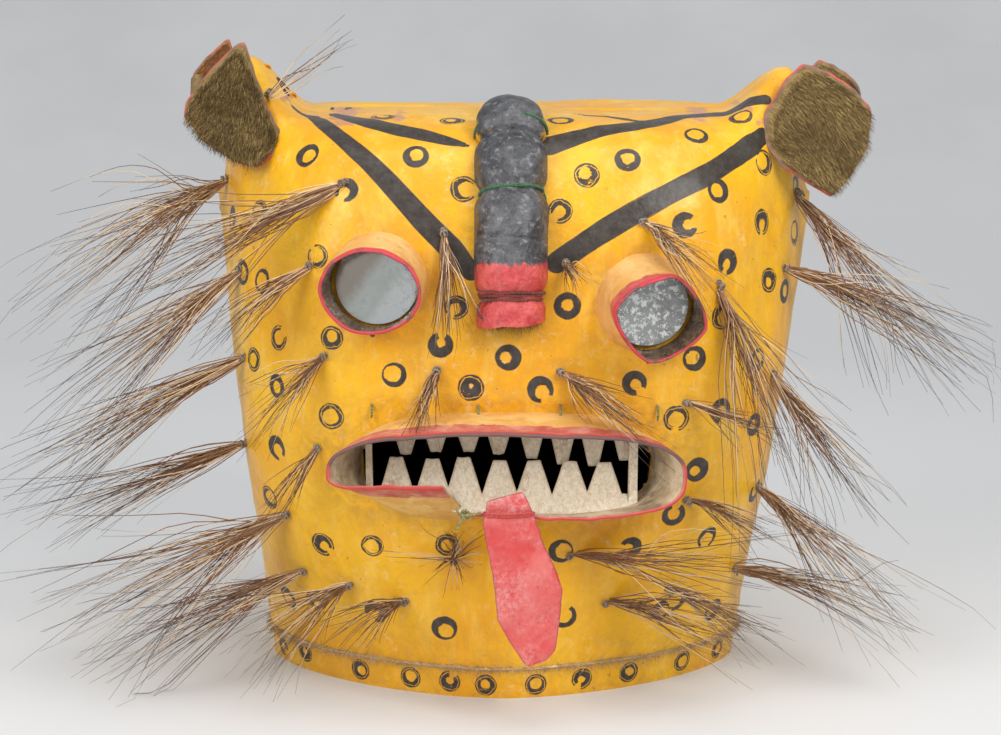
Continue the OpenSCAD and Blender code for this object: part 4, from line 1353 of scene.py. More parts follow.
def make_mouth():
    n, steps = 330, 26
    k = np.linspace(0, 1, n)
    angle = np.radians(257 - 355 * k)
    left = np.arange(n) < n / 2
    rim_out, rim_in = mouth_rim_point(0, angle, left), mouth_rim_point(MOUTH_WALL, angle, left)
    loops = wall_profile(
        mouth_base_point(0, angle), rim_out, rim_in, mouth_base_point(MOUTH_WALL, angle), steps, 0.0
    )
    q = np.concatenate([np.linspace(0, 1, steps), [1, 1, 1], np.linspace(1, 0, steps)])[None, :]
    loops[..., 2] += q * (1.3 * noise(loops * [1, 0, 0.2], 34, 41) + 0.5 * noise(loops, 8, 42))
    loops[..., 1] += q * q * (1.8 * noise(loops * [1, 0, 0.2], 25, 43) + 0.7 * noise(loops, 7, 44))
    lower_left = (np.sin(angle) < 0) & left
    slant = (1 - q) * smooth(0.085, 0.0, k)[:, None]
    loops[..., 0] += 10 * slant
    loops[..., 2] -= 4.5 * (1 - q) * smooth(0.20, 0.03, k)[:, None]
    x = loops[..., 0]
    ragged = 1.6 * np.abs(noise(loops * [1, 0, 0], 7, 45)) * (np.abs(x + 26) < 30)
    loops[..., 1] += np.where(lower_left[:, None], q * ragged * 1.5, 0)
    points, faces = loft(loops, True)
    turn = np.degrees(angle) % 360
    band = np.interp(
        turn, [0, 45, 90, 135, 180, 225, 257, 270, 315, 360], [10, 13, 16, 18, 17, 17, 15, 9, 9, 10]
    )
    build(
        "mouth_leather", points, faces, mouth_paint, ["mouth_ring"],
        point=wall_attributes(loops, steps, band), angle=70
    )


make_mouth()

# ---- Teeth ----


def ring_limits(out, xs):
    """Lower and upper inner edges of the mouth ring at a distance out from its base."""
    angle = np.radians(257 - 360 * np.linspace(0, 1, 721))
    left = np.arange(721) < 360
    p = mix(
        mouth_base_point(MOUTH_WALL, angle), mouth_rim_point(MOUTH_WALL, angle, left),
        out / MOUTH_OUT
    )
    low, high = p[np.sin(angle) < 0], p[np.sin(angle) >= 0]
    low, high = low[np.argsort(low[:, 0])], high[np.argsort(high[:, 0])]
    return np.interp(xs, low[:, 0], low[:, 2]), np.interp(xs, high[:, 0], high[:, 2])


def make_teeth(
    name, node, centre_x, pitch, tip_w, base_w, lengths, root_z, up, out, seed, x_from, x_to,
    posts=()
):
    rng = np.random.default_rng(seed)
    xs = np.arange(x_from, x_to, 0.45)
    height = np.zeros(len(xs))
    length = max(lengths)
    for k, tall in enumerate(lengths):
        cx = centre_x + (k - (len(lengths) - 1) / 2) * pitch + rng.uniform(-0.7, 0.7)
        side_lean = rng.uniform(-0.9, 0.9)
        d = np.abs(xs - cx - side_lean)
        rise = np.clip((base_w / 2 - d) / ((base_w - tip_w) / 2), 0, 1)
        here = tall * rise
        height = np.maximum(height, here)
    for post_from, post_to, post_top in posts:
        height = np.where((xs > post_from) & (xs < post_to), post_top - root_z, height)
    height = height + 0.25 * noise(np.stack([xs, 0 * xs, 0 * xs], -1), 2.2, seed)
    low, high = ring_limits(out, xs)
    further = ring_limits(min(out + 5.0, MOUTH_OUT), xs)
    wall = np.maximum(low, further[0]) + 0.8 if up else np.minimum(high, further[1]) - 0.6
    sign = 1 if up else -1
    tip_z = root_z + sign * height
    tip_z = np.clip(
        tip_z, wall + 1.0, np.minimum(high, further[1]) - 1.6
    ) if up else np.minimum(tip_z, wall - 1.0)
    rows = 26
    q = np.linspace(0, 1, rows)[None, :]
    z = mix(wall[:, None] - sign * 0.3, tip_z[:, None], q)
    reach = np.clip((z - root_z) * sign / length, 0, 1)
    x = xs[:, None] + 0 * q
    y = MOUTH_BACK_Y - out - 1.25 + 0 * z
    y = y - 1.1 * reach**2 + 0.5 * noise(np.stack([x, 0 * x, z], -1), 11, seed + 2)
    fold = np.clip(1 - (z - wall[:, None]) * sign / 7.0, 0, 1)
    y = y - 2.5 * fold**2 * smooth(-30, -15, x)
    rim = np.minimum(np.abs(tip_z[:, None] - z), 6) * 0.8
    thick = 1.25 * (1 - 0.45 * np.exp(-rim / 0.7))
    front = np.stack([x, y - thick, z], -1)
    back = np.stack([x, y + thick, z], -1)
    points, faces, used = slab(front, back, len(xs), rows)
    side = np.abs(np.gradient(tip_z, xs))[:, None]
    rim_mm = np.abs(tip_z[:, None] - z) / np.sqrt(1 + side**2)
    rim_mm = np.concatenate([rim_mm.ravel(), rim_mm.ravel()])[used]
    faces = outward(points, faces)
    build(
        name, points, [faces], tooth_hide, [node], point={"rim_mm": rim_mm}, angle=60,
    )


MEET_Z = MOUTH_Z + 6.3
make_teeth(
    "lower_teeth_hide", "lower_teeth", MOUTH_X - 3.3, 19.4, 7.4, 20.0,
    [21.5, 20.5, 21.5, 19.5, 19.5, 19, 18.5], MEET_Z - 2.4 - 18.5, True, 9, 71,
    -77, 75.6, ((-77.1, -73.0, 166), (70.4, 75.6, 166)),
)
make_teeth(
    "upper_teeth_hide", "upper_teeth", MOUTH_X + 5, 17.5, 6.0, 17.0,
    [18.5, 17, 17, 18.5, 21, 24, 25, 22], MEET_Z + 2.4 + 17, False, 3, 72,
    -60, 76,
)

# ---- Tongue ----

TONGUE_X, TONGUE_Y, TONGUE_Z = 9, MOUTH_FRONT_Y - 3.5, 126


def make_tongue():
    left = [
        (11.5, 0.5), (7, -18), (-1, -19), (-7, -20), (-19, -18), (-34, -15), (-49, -13), (-61, -12),
        (-73, -6), (-86, 3), (-87, 5)
    ]
    right = [
        (11.5, 1.5), (10.5, 3), (1, 7), (-1, 8), (-19, 14), (-34, 21), (-44, 24), (-58, 23),
        (-78, 20), (-84, 15), (-87, 6.5)
    ]
    zs = np.concatenate([np.linspace(11.5, -80, 96), -80 - 7 * np.linspace(0, 1, 12)[1:] ** 0.8])
    lz = np.interp(-zs, [-a for a, _ in left], [b for _, b in left])
    rz = np.interp(-zs, [-a for a, _ in right], [b for _, b in right])
    for edge in (lz, rz):
        edge[1:-1] = (edge[:-2] + 2 * edge[1:-1] + edge[2:]) / 4
    q = np.linspace(0, 1, 40)[:, None]
    x = mix(lz[None, :], rz[None, :], q) + 0.35 * noise(
        np.stack([0 * q + zs, q + 0 * zs, 0 * q + zs], -1), 5, 8
    )
    z = zs[None, :] + 0 * q
    width = (rz - lz)[None, :]
    across = (q - 0.5) * 2
    place = np.stack([x, 0 * x, z], -1)
    y = 1.1 * across**2 * smooth(0, 20, -z) - 0.6 * smooth(0, 25, -z) + 0.9 * layered(place, 24, 81)
    y = y * smooth(1, 9, np.abs(z)) - 1.2 * smooth(60, 87, -z)
    y = y + 0.7 * bump(z, 0, 2.6)
    edge_mm = np.minimum((0.5 - np.abs(q - 0.5)) * width, np.minimum(11.5 - z, z + 87.2) + 0.2)
    thick = 1.45 * (1 - 0.5 * np.exp(-edge_mm / 0.8)) * (1 - 0.25 * bump(z, 0, 2.6))
    shift = np.array([TONGUE_X, TONGUE_Y, TONGUE_Z])
    front = np.stack([x, y - thick, z], -1) + shift
    back = np.stack([x, y + thick, z], -1) + shift
    points, faces, used = slab(front, back, 40, len(zs))
    faces = outward(points, faces)
    rim = np.concatenate([edge_mm.ravel(), edge_mm.ravel()])[used]
    build(
        "tongue_leather", points, [faces], red_hide, ["tongue"], body="tongue",
        point={"rim_mm": rim}, angle=60
    )
    d = 2.1
    loop = np.array([
        (-19.9, 0, 0.2), (-19, -d, 0), (-6, -d - 0.2, -0.5), (3, -d - 0.2, 0.3), (7.4, -d, 0.5),
        (8.6, 0, 0.4), (7.4, d, 0.2), (-5, d, 0), (-19, d, 0),
    ], float)
    second = loop * [1.0, 0.92, 1] + [0, 0, -1.3]
    points, faces = rope([loop + shift, second + shift], 0.55, 2, 3.0, 0.6, True, 5)
    build(
        "tongue_tie", points, faces, red_cord, ["tongue_cord"], body="tongue", angle=180,
    )
    knot = np.array([-21.0, MOUTH_FRONT_Y - 1.0, TONGUE_Z - 1.5])
    a = np.linspace(0, TURN * 3, 60)
    ball = np.stack(
        [2.3 * np.cos(a), 1.9 * np.sin(a) * np.cos(a / 3), 2.3 * np.sin(a) * np.sin(a / 3 + 0.6)],
        -1
    ) + knot
    tail = np.array([knot + [1, -1.5, 0], knot + [-3, -3.0, -4], knot + [-5, -3.0, -8.5]])
    other = np.array([knot + [-1, 1.0, 1], knot + [-3, 3.0, -1], knot + [-5, 6, 2]])
    across = np.array(
        [
            knot + [0, -2.4, 0], knot + [5, -3.2, 1.0],
            [TONGUE_X - 20.9, TONGUE_Y - 0.6, TONGUE_Z + 0.4]
        ]
    )
    points, faces = rope([ball, tail, other, across], 0.85, 2, 4.0, 0.7, False, 6)
    build(
        "tongue_tie_knot", points, faces, olive_twine, ["tongue_knot"], angle=180
    )


make_tongue()

# ---- Nose ----


def make_nose():
    stations, arch = 170, 61
    s = np.linspace(0, NOSE_L, stations)
    outer, inner = nose_arch(s, 0, points=arch), nose_arch(s, -NOSE_WALL, points=arch)
    side = np.linspace(1, -1, arch)[None, :]
    slope = (1 - s / 40).clip(0, 1)[:, None] * (2.2 * side + 1.2 * noise(outer, 10, 93))
    outer, inner = outer + slope[..., None] * [0, 0, 1.0], inner + slope[..., None] * [0, 0, 1.0]
    normal = unit(outer - nose_at(s)[:, None] - 4 * nose_out(s)[:, None])
    pinch = sum(bump(s, c, 4) for c in NOSE_CORDS)[:, None]
    h = 0.9 * layered(outer, 18, 91, 4) * (1 - 0.8 * pinch)
    pleats = (
        0.5 * np.sin(np.linspace(0, 26, arch))[None, :] * np.exp(-(((s[:, None] - 73) / 9) ** 2))
    )
    pleats = (
        pleats + 0.45 * np.sin(np.linspace(1, 24, arch))[None, :]
        * np.exp(-(((s[:, None] - 15) / 7) ** 2))
    )
    crack = -0.9 * bump(s[:, None] + 3.0 * side, 47, 1.0) * (np.abs(side) < 0.7)
    h = (h + pleats + crack) * smooth(0.0, 0.12, 1 - np.abs(side))
    outer, inner = outer + h[..., None] * normal, inner + 0.8 * h[..., None] * normal
    loop = np.concatenate([outer, inner[:, ::-1]], 1)
    points, faces = loft(loop, True)
    along = np.repeat(s, loop.shape[1])
    zero = np.zeros(len(points))
    build(
        "nose_leather", points, faces, nose_leather, ["nose_roll"],
        point={"along_mm": along, "yellow": zero}, angle=60
    )


make_nose()


def make_cap():
    """Doubled end of the roll, bent over the crown of the helmet."""
    rows, cols = 40, 49
    q = np.linspace(0, 1, rows)
    closing = 0.62 * np.sqrt(np.maximum(0, 1 - q**2)) + 0.38
    s = NOSE_L - 1.0 + 24 * q
    arch = nose_arch(s, 0.4, points=cols)
    base, out = nose_at(s)[:, None], nose_out(s)[:, None]
    p = base + closing[:, None, None] * (arch - base) + 2 * out
    side = np.linspace(1, -1, cols)[None, :]
    p[..., 2] += 4.5 * smooth(0, 0.35, q)[:, None]
    normal = unit(p - base - 3 * out)
    p = p + (
        0.9 * layered(p, 14, 95, 3) * smooth(0, 0.15, 1 - np.abs(side))
        + 1.6 * bump(q, 0.10, 0.07)[:, None]
    )[..., None] * normal
    low = base + closing[:, None, None] * 0.94 * (arch[:, ::-1] - base) * [1, 0, 0] + 1.2 * out
    loop = np.concatenate([p, low[:, 1:-1]], 1)
    points, faces = loft(loop, False)
    yellow = np.zeros(loop.shape[:2])
    yellow[:, :cols] = smooth(0.72, 0.9, np.abs(side)) * (1 - smooth(0.25, 0.6, q))[:, None]
    marks = {"along_mm": np.full(len(points), 110.0), "yellow": yellow.ravel()}
    build(
        "nose_cap_leather", points, faces, nose_leather, ["nose_cap"],
        point=marks, angle=75,
    )


make_cap()


def make_stuffing():
    s = np.linspace(4.5, 101, 60)
    cols = 34
    arch = nose_arch(s, -NOSE_WALL - 0.6, 0.1, cols)
    arch = arch + (0.4 * noise(arch, 6, 97))[..., None] * nose_out(s)[:, None]
    points, faces = loft(arch, False)
    zero = np.zeros(len(points))
    pad = build(
        "nose_filling", points, faces, stuffing_hair, ["nose_stuffing"],
        point={"along": zero + 0.5, "tone": zero + 0.5}
    )
    rng = np.random.default_rng(98)
    count, steps = 620, 5
    a = rng.uniform(0.08, 0.92, count) * math.pi
    r = rng.uniform(0.3, 1.0, count)
    base = (
        nose_at(5.0) + np.stack([16 * r * np.cos(a), 0 * a, 0 * a], -1)
        + (18 * r * np.sin(a))[:, None] * nose_out(5.0)
    )
    d = unit(
        np.stack(
            [
                0.35 * np.cos(a) + 0.3 * rng.normal(size=count),
                0.25 * rng.normal(size=count) - 0.15, -1.0 + 0 * a
            ],
            -1
        )
    )
    reach = rng.uniform(3, 9.5, count)
    t = np.linspace(0, 1, steps)
    curl = rng.normal(size=(count, 3)) * 1.1
    paths = (
        base[:, None] + reach[:, None, None] * t[None, :, None] * d[:, None]
        + (t**2)[None, :, None] * curl[:, None]
    )
    radii = np.broadcast_to(0.17 * (1 - 0.8 * t), (count, steps))
    points, faces = tubes(paths, radii, 3)
    build(
        "nose_filling_hair", points, faces, stuffing_hair, [], angle=180,
        point=hair_facts(t, rng.random(count)),
    )


make_stuffing()


def nose_ties():
    def wrap(s, skew, grow=0.55):
        p = nose_arch(np.array([s]), grow, points=40)[0]
        return p + np.linspace(-1, 1, 40)[:, None] * skew * np.array([0, 0, 1.0])

    pinch_top = [wrap(109, -1.0, 1.6) + [0, 0, 2.4]]
    points, faces = rope(pinch_top, 0.95, 3, 5.0, 0.7, False, 31)
    build(
        "nose_tie_top", points, faces, green_twine, ["nose_cord_top"], angle=180
    )
    middle = wrap(73, -1.4)
    end = middle[0]
    tail = np.array([end, end + [1.6, -1.5, -3], end + [1.0, -2.0, -8], end + [2.6, -2.0, -12]])
    points, faces = rope([middle, tail], 0.95, 3, 5.0, 0.7, False, 32)
    build(
        "nose_tie_middle", points, faces, green_twine, ["nose_cord_middle"], angle=180,
    )
    low = [wrap(14.2, 0.5), wrap(16.6, -0.5, 0.8), wrap(18.4, 1.0, 0.6)]
    a = np.linspace(0.5, TURN * 0.97, 30)
    start = nose_arch(np.array([13.0]), 1.2, points=40)[0][30]
    loop = start + np.stack(
        [4.6 * np.cos(a) + 0.5, -0.8 + 0.2 * np.sin(3 * a), 5.6 * np.sin(a) - 4.5], -1
    )
    points, faces = rope([*low, loop], 0.8, 2, 3.6, 0.6, False, 33)
    build(
        "nose_tie_red", points, faces, brown_cord, ["nose_cord_red"], angle=180
    )


nose_ties()

# ---- Ears ----

EAR_CENTRE = ((-154.5, -52, 340), (181, -52, 326))
EAR_OUTLINES = (
    [
        (5, 38), (11, 21), (21, -6), (29, -20), (25, -29), (14, -38), (1, -35), (-18, -22),
        (-29, -7), (-28, 3), (-15, 21), (1, 37)
    ],
    [
        (-7, 41), (9, 35), (22, 24), (31, 14), (32, 6), (28, -12), (18, -30), (7, -41), (-4, -35),
        (-22, -22), (-31, -7), (-30, 11), (-16, 32)
    ],
)
EAR_T, EAR_GAP, EAR_LEAN = 3, 26, math.radians(26)


def make_ear(i, side_name):
    side = -1 if i == 0 else 1
    tilt = math.pi / 2 - EAR_LEAN
    axes = np.array(
        [[1, 0, 0], [0, math.cos(tilt), math.sin(tilt)], [0, -math.sin(tilt), math.cos(tilt)]]
    )
    rng = np.random.default_rng(200 + i)

    def place(local):
        return np.asarray(local) @ axes + np.array(EAR_CENTRE[i])

    def leaf(scale, shift, depth, cup, seed):
        """A thin leaf of hide from its outline, with the grid of its front."""
        rim = round_path([(x, y, 0.0) for x, y in EAR_OUTLINES[i]], 1.5, 2, True)[:, :2]
        rim = rim + 0.6 * noise(
            np.stack([rim[:, 0], rim[:, 1], 0 * rim[:, 0]], -1), 6, seed
        )[:, None] * unit(rim)
        rings = np.concatenate([np.linspace(0.03, 0.90, 20), [0.95, 0.98, 1.0]])
        flat = rings[:, None, None] * rim[None]
        x, y = flat[..., 0], flat[..., 1]
        z = (
            cup * (x**2 + 0.4 * y**2) / 900
            + 1.1 * layered(np.stack([x, y, 0 * x], -1), 26, seed, 2)
        )
        thick = EAR_T / 2 * (1 - 0.55 * smooth(0.93, 1.0, rings))[:, None] + 0 * x
        xy = np.stack([x * scale + shift[0], y * scale + shift[1]], -1)
        middle = depth + EAR_T / 2 + z
        top = np.concatenate([xy, (middle + thick)[..., None]], -1)
        under = np.concatenate([xy, (middle - thick)[..., None]], -1)
        loop = np.concatenate([top, under[::-1]], 0)
        local, faces = loft(loop, False)
        far = np.repeat(np.concatenate([rings, rings[::-1]]), loop.shape[1])
        return (place(local), faces), top, far

    front, top, far = leaf(1.0, (0, 0), 0.0, -1.6, 210 + i)
    back, back_top, far2 = leaf(0.62, (side * 10, 28), -EAR_GAP - EAR_T, 1.2, 220 + i)
    # the fold that joins the two leaves round the outer edge
    t = np.linspace(0, math.pi, 16)
    fold = []
    for w in np.linspace(-6, 16, 14):
        x0 = side * 21.5
        mid = (EAR_T - EAR_GAP - EAR_T) / 2
        arc_r = (EAR_GAP + EAR_T) / 2
        ring_out = np.stack(
            [x0 + side * 5.5 * np.sin(t), 2 + w + 0 * t, mid + (arc_r + 1.2) * np.cos(t)], -1
        )
        ring_in = np.stack(
            [x0 + side * (5.5 * np.sin(t) - 2.4), 2 + w + 0 * t, mid + (arc_r - 1.2) * np.cos(t)],
            -1
        )
        fold.append(np.concatenate([ring_out, ring_in[::-1]]))
    local, faces = loft(np.array(fold), True)
    folded = (place(local), [np.concatenate(faces)])
    points, faces = joined([front, back, folded])
    rim = np.concatenate([(1 - far) * 30, (1 - far2) * 20, np.full(len(local), 9.0)])
    build(
        f"ear_{side_name}_leather", points, faces, ear_skin, [f"ear_{side_name}"],
        point={"rim_mm": rim}, angle=75
    )

    def fur(name, top_grid, count, reach, comb, material, edge_from):
        rings, cols = top_grid.shape[:2]
        rng.random(count)
        radial = np.interp(
            np.sqrt(rng.uniform(0, 1, count)), np.linspace(0.03, 1, rings), np.arange(rings)
        )
        radial = np.minimum(radial, rings - 2 - edge_from)
        a = rng.uniform(0, cols, count)
        i0, j0 = radial.astype(int), a.astype(int)
        fi, fj = (radial - i0)[:, None], (a - j0)[:, None]
        i1, j1 = i0 + 1, (j0 + 1) % cols
        p = mix(
            mix(top_grid[i0, j0], top_grid[i1, j0], fi),
            mix(top_grid[i0, j1], top_grid[i1, j1], fi), fj
        )
        flow = np.array(comb, float)
        swirl = 0.35 * layered(p, 22, 230 + i, 2)
        c, s = np.cos(swirl), np.sin(swirl)
        d = np.stack([flow[0] * c - flow[1] * s, flow[0] * s + flow[1] * c, 0.30 + 0 * c], -1)
        d = unit(d + 0.16 * rng.normal(size=(count, 3)))
        d[:, 2] = np.abs(d[:, 2]) + 0.06
        length = reach * rng.uniform(0.55, 1.15, count)
        t = np.linspace(0, 1, 4)
        lift = np.stack([0 * t, 0 * t, 0.9 * t * (1 - t)], -1) * 1.3
        paths = p[:, None] + length[:, None, None] * t[None, :, None] * d[:, None] + lift[None]
        paths[..., 2] -= 0.3
        radii = (
            np.broadcast_to(0.17 * (1 - 0.8 * t), (count, 4))
            * rng.uniform(0.7, 1.2, count)[:, None]
        )
        points, faces = tubes(place(paths), radii, 3)
        tone = np.clip(rng.random(count) * 0.65 + 0.35 * (0.5 + 0.5 * noise(p, 13, 240 + i)) , 0, 1)
        build(name, points, faces, material, [], angle=180,
                     point=hair_facts(t, tone))

    fur(f"ear_{side_name}_fur", top, 8200, 7.5, (0.30 * side + 0.25, -0.90), ear_hair, 2)
    fur(
        f"ear_{side_name}_back_fur", back_top, 2600, 3.6, (side * 0.3, -0.8),
        red_hair if i == 0 else ear_hair, 2
    )


def ear_paint():
    p = Paint("ear_skin", Specular_IOR_Level=0.35)
    rim = p.attribute("rim_mm")
    edge = p.step(p.math("ADD", rim, p.math("MULTIPLY", p.noise(130, 4, 0.7), 2.6)), 2.9, 1.5)
    skin = p.mix(
        p.step(p.noise(160, 5, 0.7), 0.35, 0.65), (0.14, 0.085, 0.035), (0.26, 0.17, 0.070)
    )
    lip = p.mix(p.step(p.noise(40, 4, 0.7), 0.46, 0.58), (0.24, 0.14, 0.12), (0.60, 0.085, 0.070))
    p.set(
        Base_Color=p.mix(edge, skin, lip), Roughness=0.7,
        Normal=p.relief(p.noise(300, 4), 0.001, 0.7)
    )
    return p.material


ear_skin = ear_paint()
make_ear(0, "left")
make_ear(1, "right")

# ---- Bristles ----

box_lo, box_hi = (np.array(v) * 1000 for v in cad_box)
ROOM = 8.0


def make_tuft(node, x, z, direction, length, spread, droop, count, seed):
    """Stiff bristles that leave their knot side by side and fan out, thinning to dark tips."""
    rng = np.random.default_rng(seed)
    count = int(1.2 * count)
    root = face_point(float(x), float(z))
    out = face_normal(float(x), float(z))
    d = unit(np.array(direction, float))
    e1 = unit(np.cross(d, [0, 0, 1.0]))
    e2 = np.cross(e1, d)
    open_angle = math.radians(spread)
    steps = 11
    t = np.linspace(0, 1, steps)
    a = rng.uniform(0, TURN, count)
    share = np.sqrt(rng.random(count)) * np.where(
        rng.random(count) < 0.22, rng.uniform(1.3, 2.1, count), rng.uniform(0.6, 1.15, count)
    )
    reach = length * np.where(
        rng.random(count) < 0.35, rng.uniform(0.45, 0.8, count), rng.uniform(0.8, 1.12, count)
    )
    # each hair keeps near the others of its lock
    lock = rng.integers(0, max(3, count // 7), count)
    own = rng.uniform(0.10, 0.55, count)
    first = np.array([np.flatnonzero(lock == k)[0] for k in lock])
    side = np.cos(a)[:, None] * e1 + np.sin(a)[:, None] * e2
    lean_out = (share * open_angle)[:, None] * side
    lean_out = mix(lean_out[first], lean_out, own[:, None])
    spread_dir = unit(d + lean_out)
    q = t[None, :, None]
    # the hairs keep together near the knot, then part
    part = smooth(0.02, 0.5, t)[None, :, None]
    heading = d * (1 - part) + spread_dir[:, None] * part
    path = root - 2.5 * out + 1.1 * side[:, None] * np.sqrt(rng.random(count))[:, None, None]
    run = reach[:, None, None] * q
    paths = path + run * heading
    bend = rng.normal(size=(count, 3)) * 0.13
    bend = mix(bend[first], bend, own[:, None])
    paths = paths + reach[:, None, None] * bend[:, None] * q**2
    wave = rng.normal(size=(count, 3)) * 0.022
    paths = (
        paths + reach[:, None, None] * wave[:, None]
        * np.sin(q * rng.uniform(3, 8, count)[:, None, None])
    )
    sag = droop * rng.uniform(0.5, 1.5, count)
    paths[..., 2] -= (sag * reach)[:, None] * t**2
    low = box_lo - ROOM + 0.5
    high = box_hi + ROOM - 0.5
    for k in range(3):
        over = np.maximum(paths[..., k] - high[k], 0) + np.minimum(paths[..., k] - low[k], 0)
        if k < 2:
            paths[..., k] -= over
    paths[..., 2] = np.maximum(paths[..., 2], 0.8 + 0.6 * rng.random(count)[:, None])
    # hairs stay outside the painted face
    skin = face_point(paths[..., 0], np.clip(paths[..., 2], 1, 330))
    reach_out = np.abs(paths[..., 0] - lean(paths[..., 2])) < half_w(paths[..., 2]) - 4
    inside = reach_out & (paths[..., 1] > skin[..., 1] - 1.5) & (t[None, :] > 0.08)
    paths[..., 1] = np.where(
        inside, skin[..., 1] - 1.5 - 1.5 * rng.random(count)[:, None], paths[..., 1]
    )
    width = rng.uniform(0.24, 0.44, count)
    radii = width[:, None] * (1 - 0.75 * t[None, :] ** 1.5)
    points, faces = tubes(paths, radii, 3)
    tone = rng.random(count)
    build(
        node.replace("whisker", "bristles"), points, faces, bristle, [node], angle=180,
        point=hair_facts(t, tone))


for number, (node, facts) in enumerate(TUFTS.items()):
    make_tuft(node, *facts, 300 + number)


def make_knots():
    rng = np.random.default_rng(55)
    parts = []
    for x, z, direction, *_ in TUFTS.values():
        root = face_point(float(x), float(z))
        d = unit(np.array(direction, float) + 0.8 * face_normal(float(x), float(z)))
        e1 = unit(np.cross(d, [0, 0, 1.0]))
        e2 = np.cross(e1, d)
        a = np.linspace(0, TURN * 4.2, 66)
        r = 1.9 + 0.35 * np.sin(a * 0.37 + rng.uniform(0, 6))
        rise = -1.2 + 4.2 * (0.5 - 0.5 * np.cos(np.linspace(0, math.pi * 1.3, 66)))
        coil = root + r[:, None] * (
            np.cos(a)[:, None] * e1 + np.sin(a)[:, None] * e2
        ) + rise[:, None] * d
        end = coil[-1] + np.array([rng.uniform(-3, 3), -2.5, rng.uniform(-5, -2)])
        parts.append(np.vstack([coil, mix(coil[-1], end, 0.5), end]))
    points, faces = rope(parts, 0.62, 2, 3.0, 0.75, False, 56, 5)
    build(
        "bristle_knots", points, faces, grey_thread, ["whisker_knots"], angle=180,
    )


make_knots()

# ---- Lacing, stitches and hem ----


def make_lacing():
    paths = []
    for k in range(23):
        u = mix(-0.8, 0.8, k / 22)
        top = float(ridge_z(np.array(u))) - 1.7
        x = lean(top) + half_w(top) * u
        paths.append(
            [
                (x - 0.5, -5.5, top - 1.6), (x, -3, top + 0.2), (x + 1.5, 0, top + 1.1),
                (x + 3, 3, top + 0.2), (x + 3.4, 5.5, top - 1.6)
            ]
        )
    points, faces = rope([np.array(p, float) for p in paths], 0.85, 3, 4.5, 0.7, False, 61)
    build(
        "crown_twine", points, faces, yellow_twine, ["crown_lacing"], angle=180
    )
    for side, name in ((-1, "left"), (1, "right")):
        last = float(ridge_z(np.array(float(side)))) - 12
        paths = []
        for k in range(17):
            z = mix(BAND_H + 10, last, k / 16)
            x = lean(z) + side * (half_w(z) - 0.6)
            paths.append(
                [
                    (x - side * 2.2, -6.2, z - 0.6), (x - side * 0.4, -3.5, z),
                    (x + side * 0.8, 0, z + 2.5), (x - side * 0.4, 3.5, z + 5),
                    (x - side * 2.2, 6.2, z + 5.6)
                ]
            )
        points, faces = rope([np.array(p, float) for p in paths], 0.85, 3, 4.5, 0.7, False, 62)
        build(
            f"side_twine_{name}", points, faces, yellow_twine, [f"side_lacing_{name}"], angle=180,
        )


def make_stitches():
    paths = []
    for x, z in ((-76, 35), (-16, 35), (30, 35), (85, 33)):
        p = face_point(float(MOUTH_X + x), float(MOUTH_Z + z))
        paths.append(
            [
                p + [0, 2, 1], p + [0, -1.2, 0.4], p + [0.6, -3.2, -2.2], p + [0.2, -4.2, -5.2],
                p + [0, -2.8, -7.0]
            ]
        )
    points, faces = rope([np.array(q) for q in paths], 0.8, 2, 3.6, 0.6, False, 63)
    build(
        "mouth_twine", points, faces, olive_twine, ["mouth_stitches"], angle=180
    )
    paths = []
    for i in (0, 1):
        low = eye_rim_point(i, 0, np.array([math.radians(270) + EYE_TWIST[i]]))[0]
        high = eye_base_point(i, EYE_BASE_R, np.array([math.radians(270)]))[0]
        along = high - low
        paths.append([
            low + 0.10 * along + [0, 0, 1.0],
            low + 0.15 * along + [0, 0, -0.8],
            low + 0.28 * along + [0.8, 0, -1.2],
            low + 0.40 * along + [0, 0, -0.8],
            low + 0.44 * along + [0, 0, 1.0],
        ])
    points, faces = rope([np.array(q) for q in paths], 0.8, 2, 3.6, 0.6, False, 64)
    build("eye_twine", points, faces, green_twine, ["eye_threads"], angle=180)


def make_hem():
    path = outline(float(BAND_H), -0.3, 90)
    path = path + np.stack([0 * path[:, 0], 0 * path[:, 0], 0.5 * noise(path, 15, 66)], -1)
    base = rope([path], 0.85, 3, 8.0, 1.0, True, 65, 5)
    rng = np.random.default_rng(67)
    count = 5200
    k = rng.uniform(0, len(path), count)
    i0 = k.astype(int) % len(path)
    p = mix(path[i0], path[(i0 + 1) % len(path)], (k - k.astype(int))[:, None])
    out = unit((p - [3, 0, 0]) * [1, 1, 0])
    tangent = np.cross([0, 0, 1.0], out)
    d = unit(
        0.42 * out + rng.normal(size=(count, 1)) * 0.75 * tangent
        + rng.normal(size=(count, 1)) * 0.5 * np.array([0, 0, 1.0])
    )
    reach = rng.uniform(1.8, 5.2, count) * np.where(rng.random(count) < 0.2, 1.8, 1.0)
    t = np.linspace(0, 1, 4)
    droop = np.stack([0 * t, 0 * t, -1.0 * t**2], -1)
    paths = (
        p[:, None] + (rng.uniform(-1.5, 1.5, (count, 1)) * [[0, 0, 1.0]])[:, None]
        + reach[:, None, None] * t[None, :, None] * d[:, None] + droop[None]
    )
    radii = np.broadcast_to(0.13 * (1 - 0.7 * t), (count, 4))
    fringe = tubes(paths, radii, 3)
    points, faces = joined([base, fringe])
    n_base = len(base[0])
    along = np.concatenate([np.full(n_base, 0.4), np.repeat(np.tile(t, count), 3)])
    tone = np.concatenate([0.5 + 0.4 * noise(base[0], 5, 68), np.repeat(rng.random(count), 12)])
    build(
        "hem_fringe", points, faces, raw_fibre, ["hem_welt"], angle=180,
        point={"along": along, "tone": tone}
    )


make_lacing()
make_stitches()
make_hem()

# ---- Mirrors ----

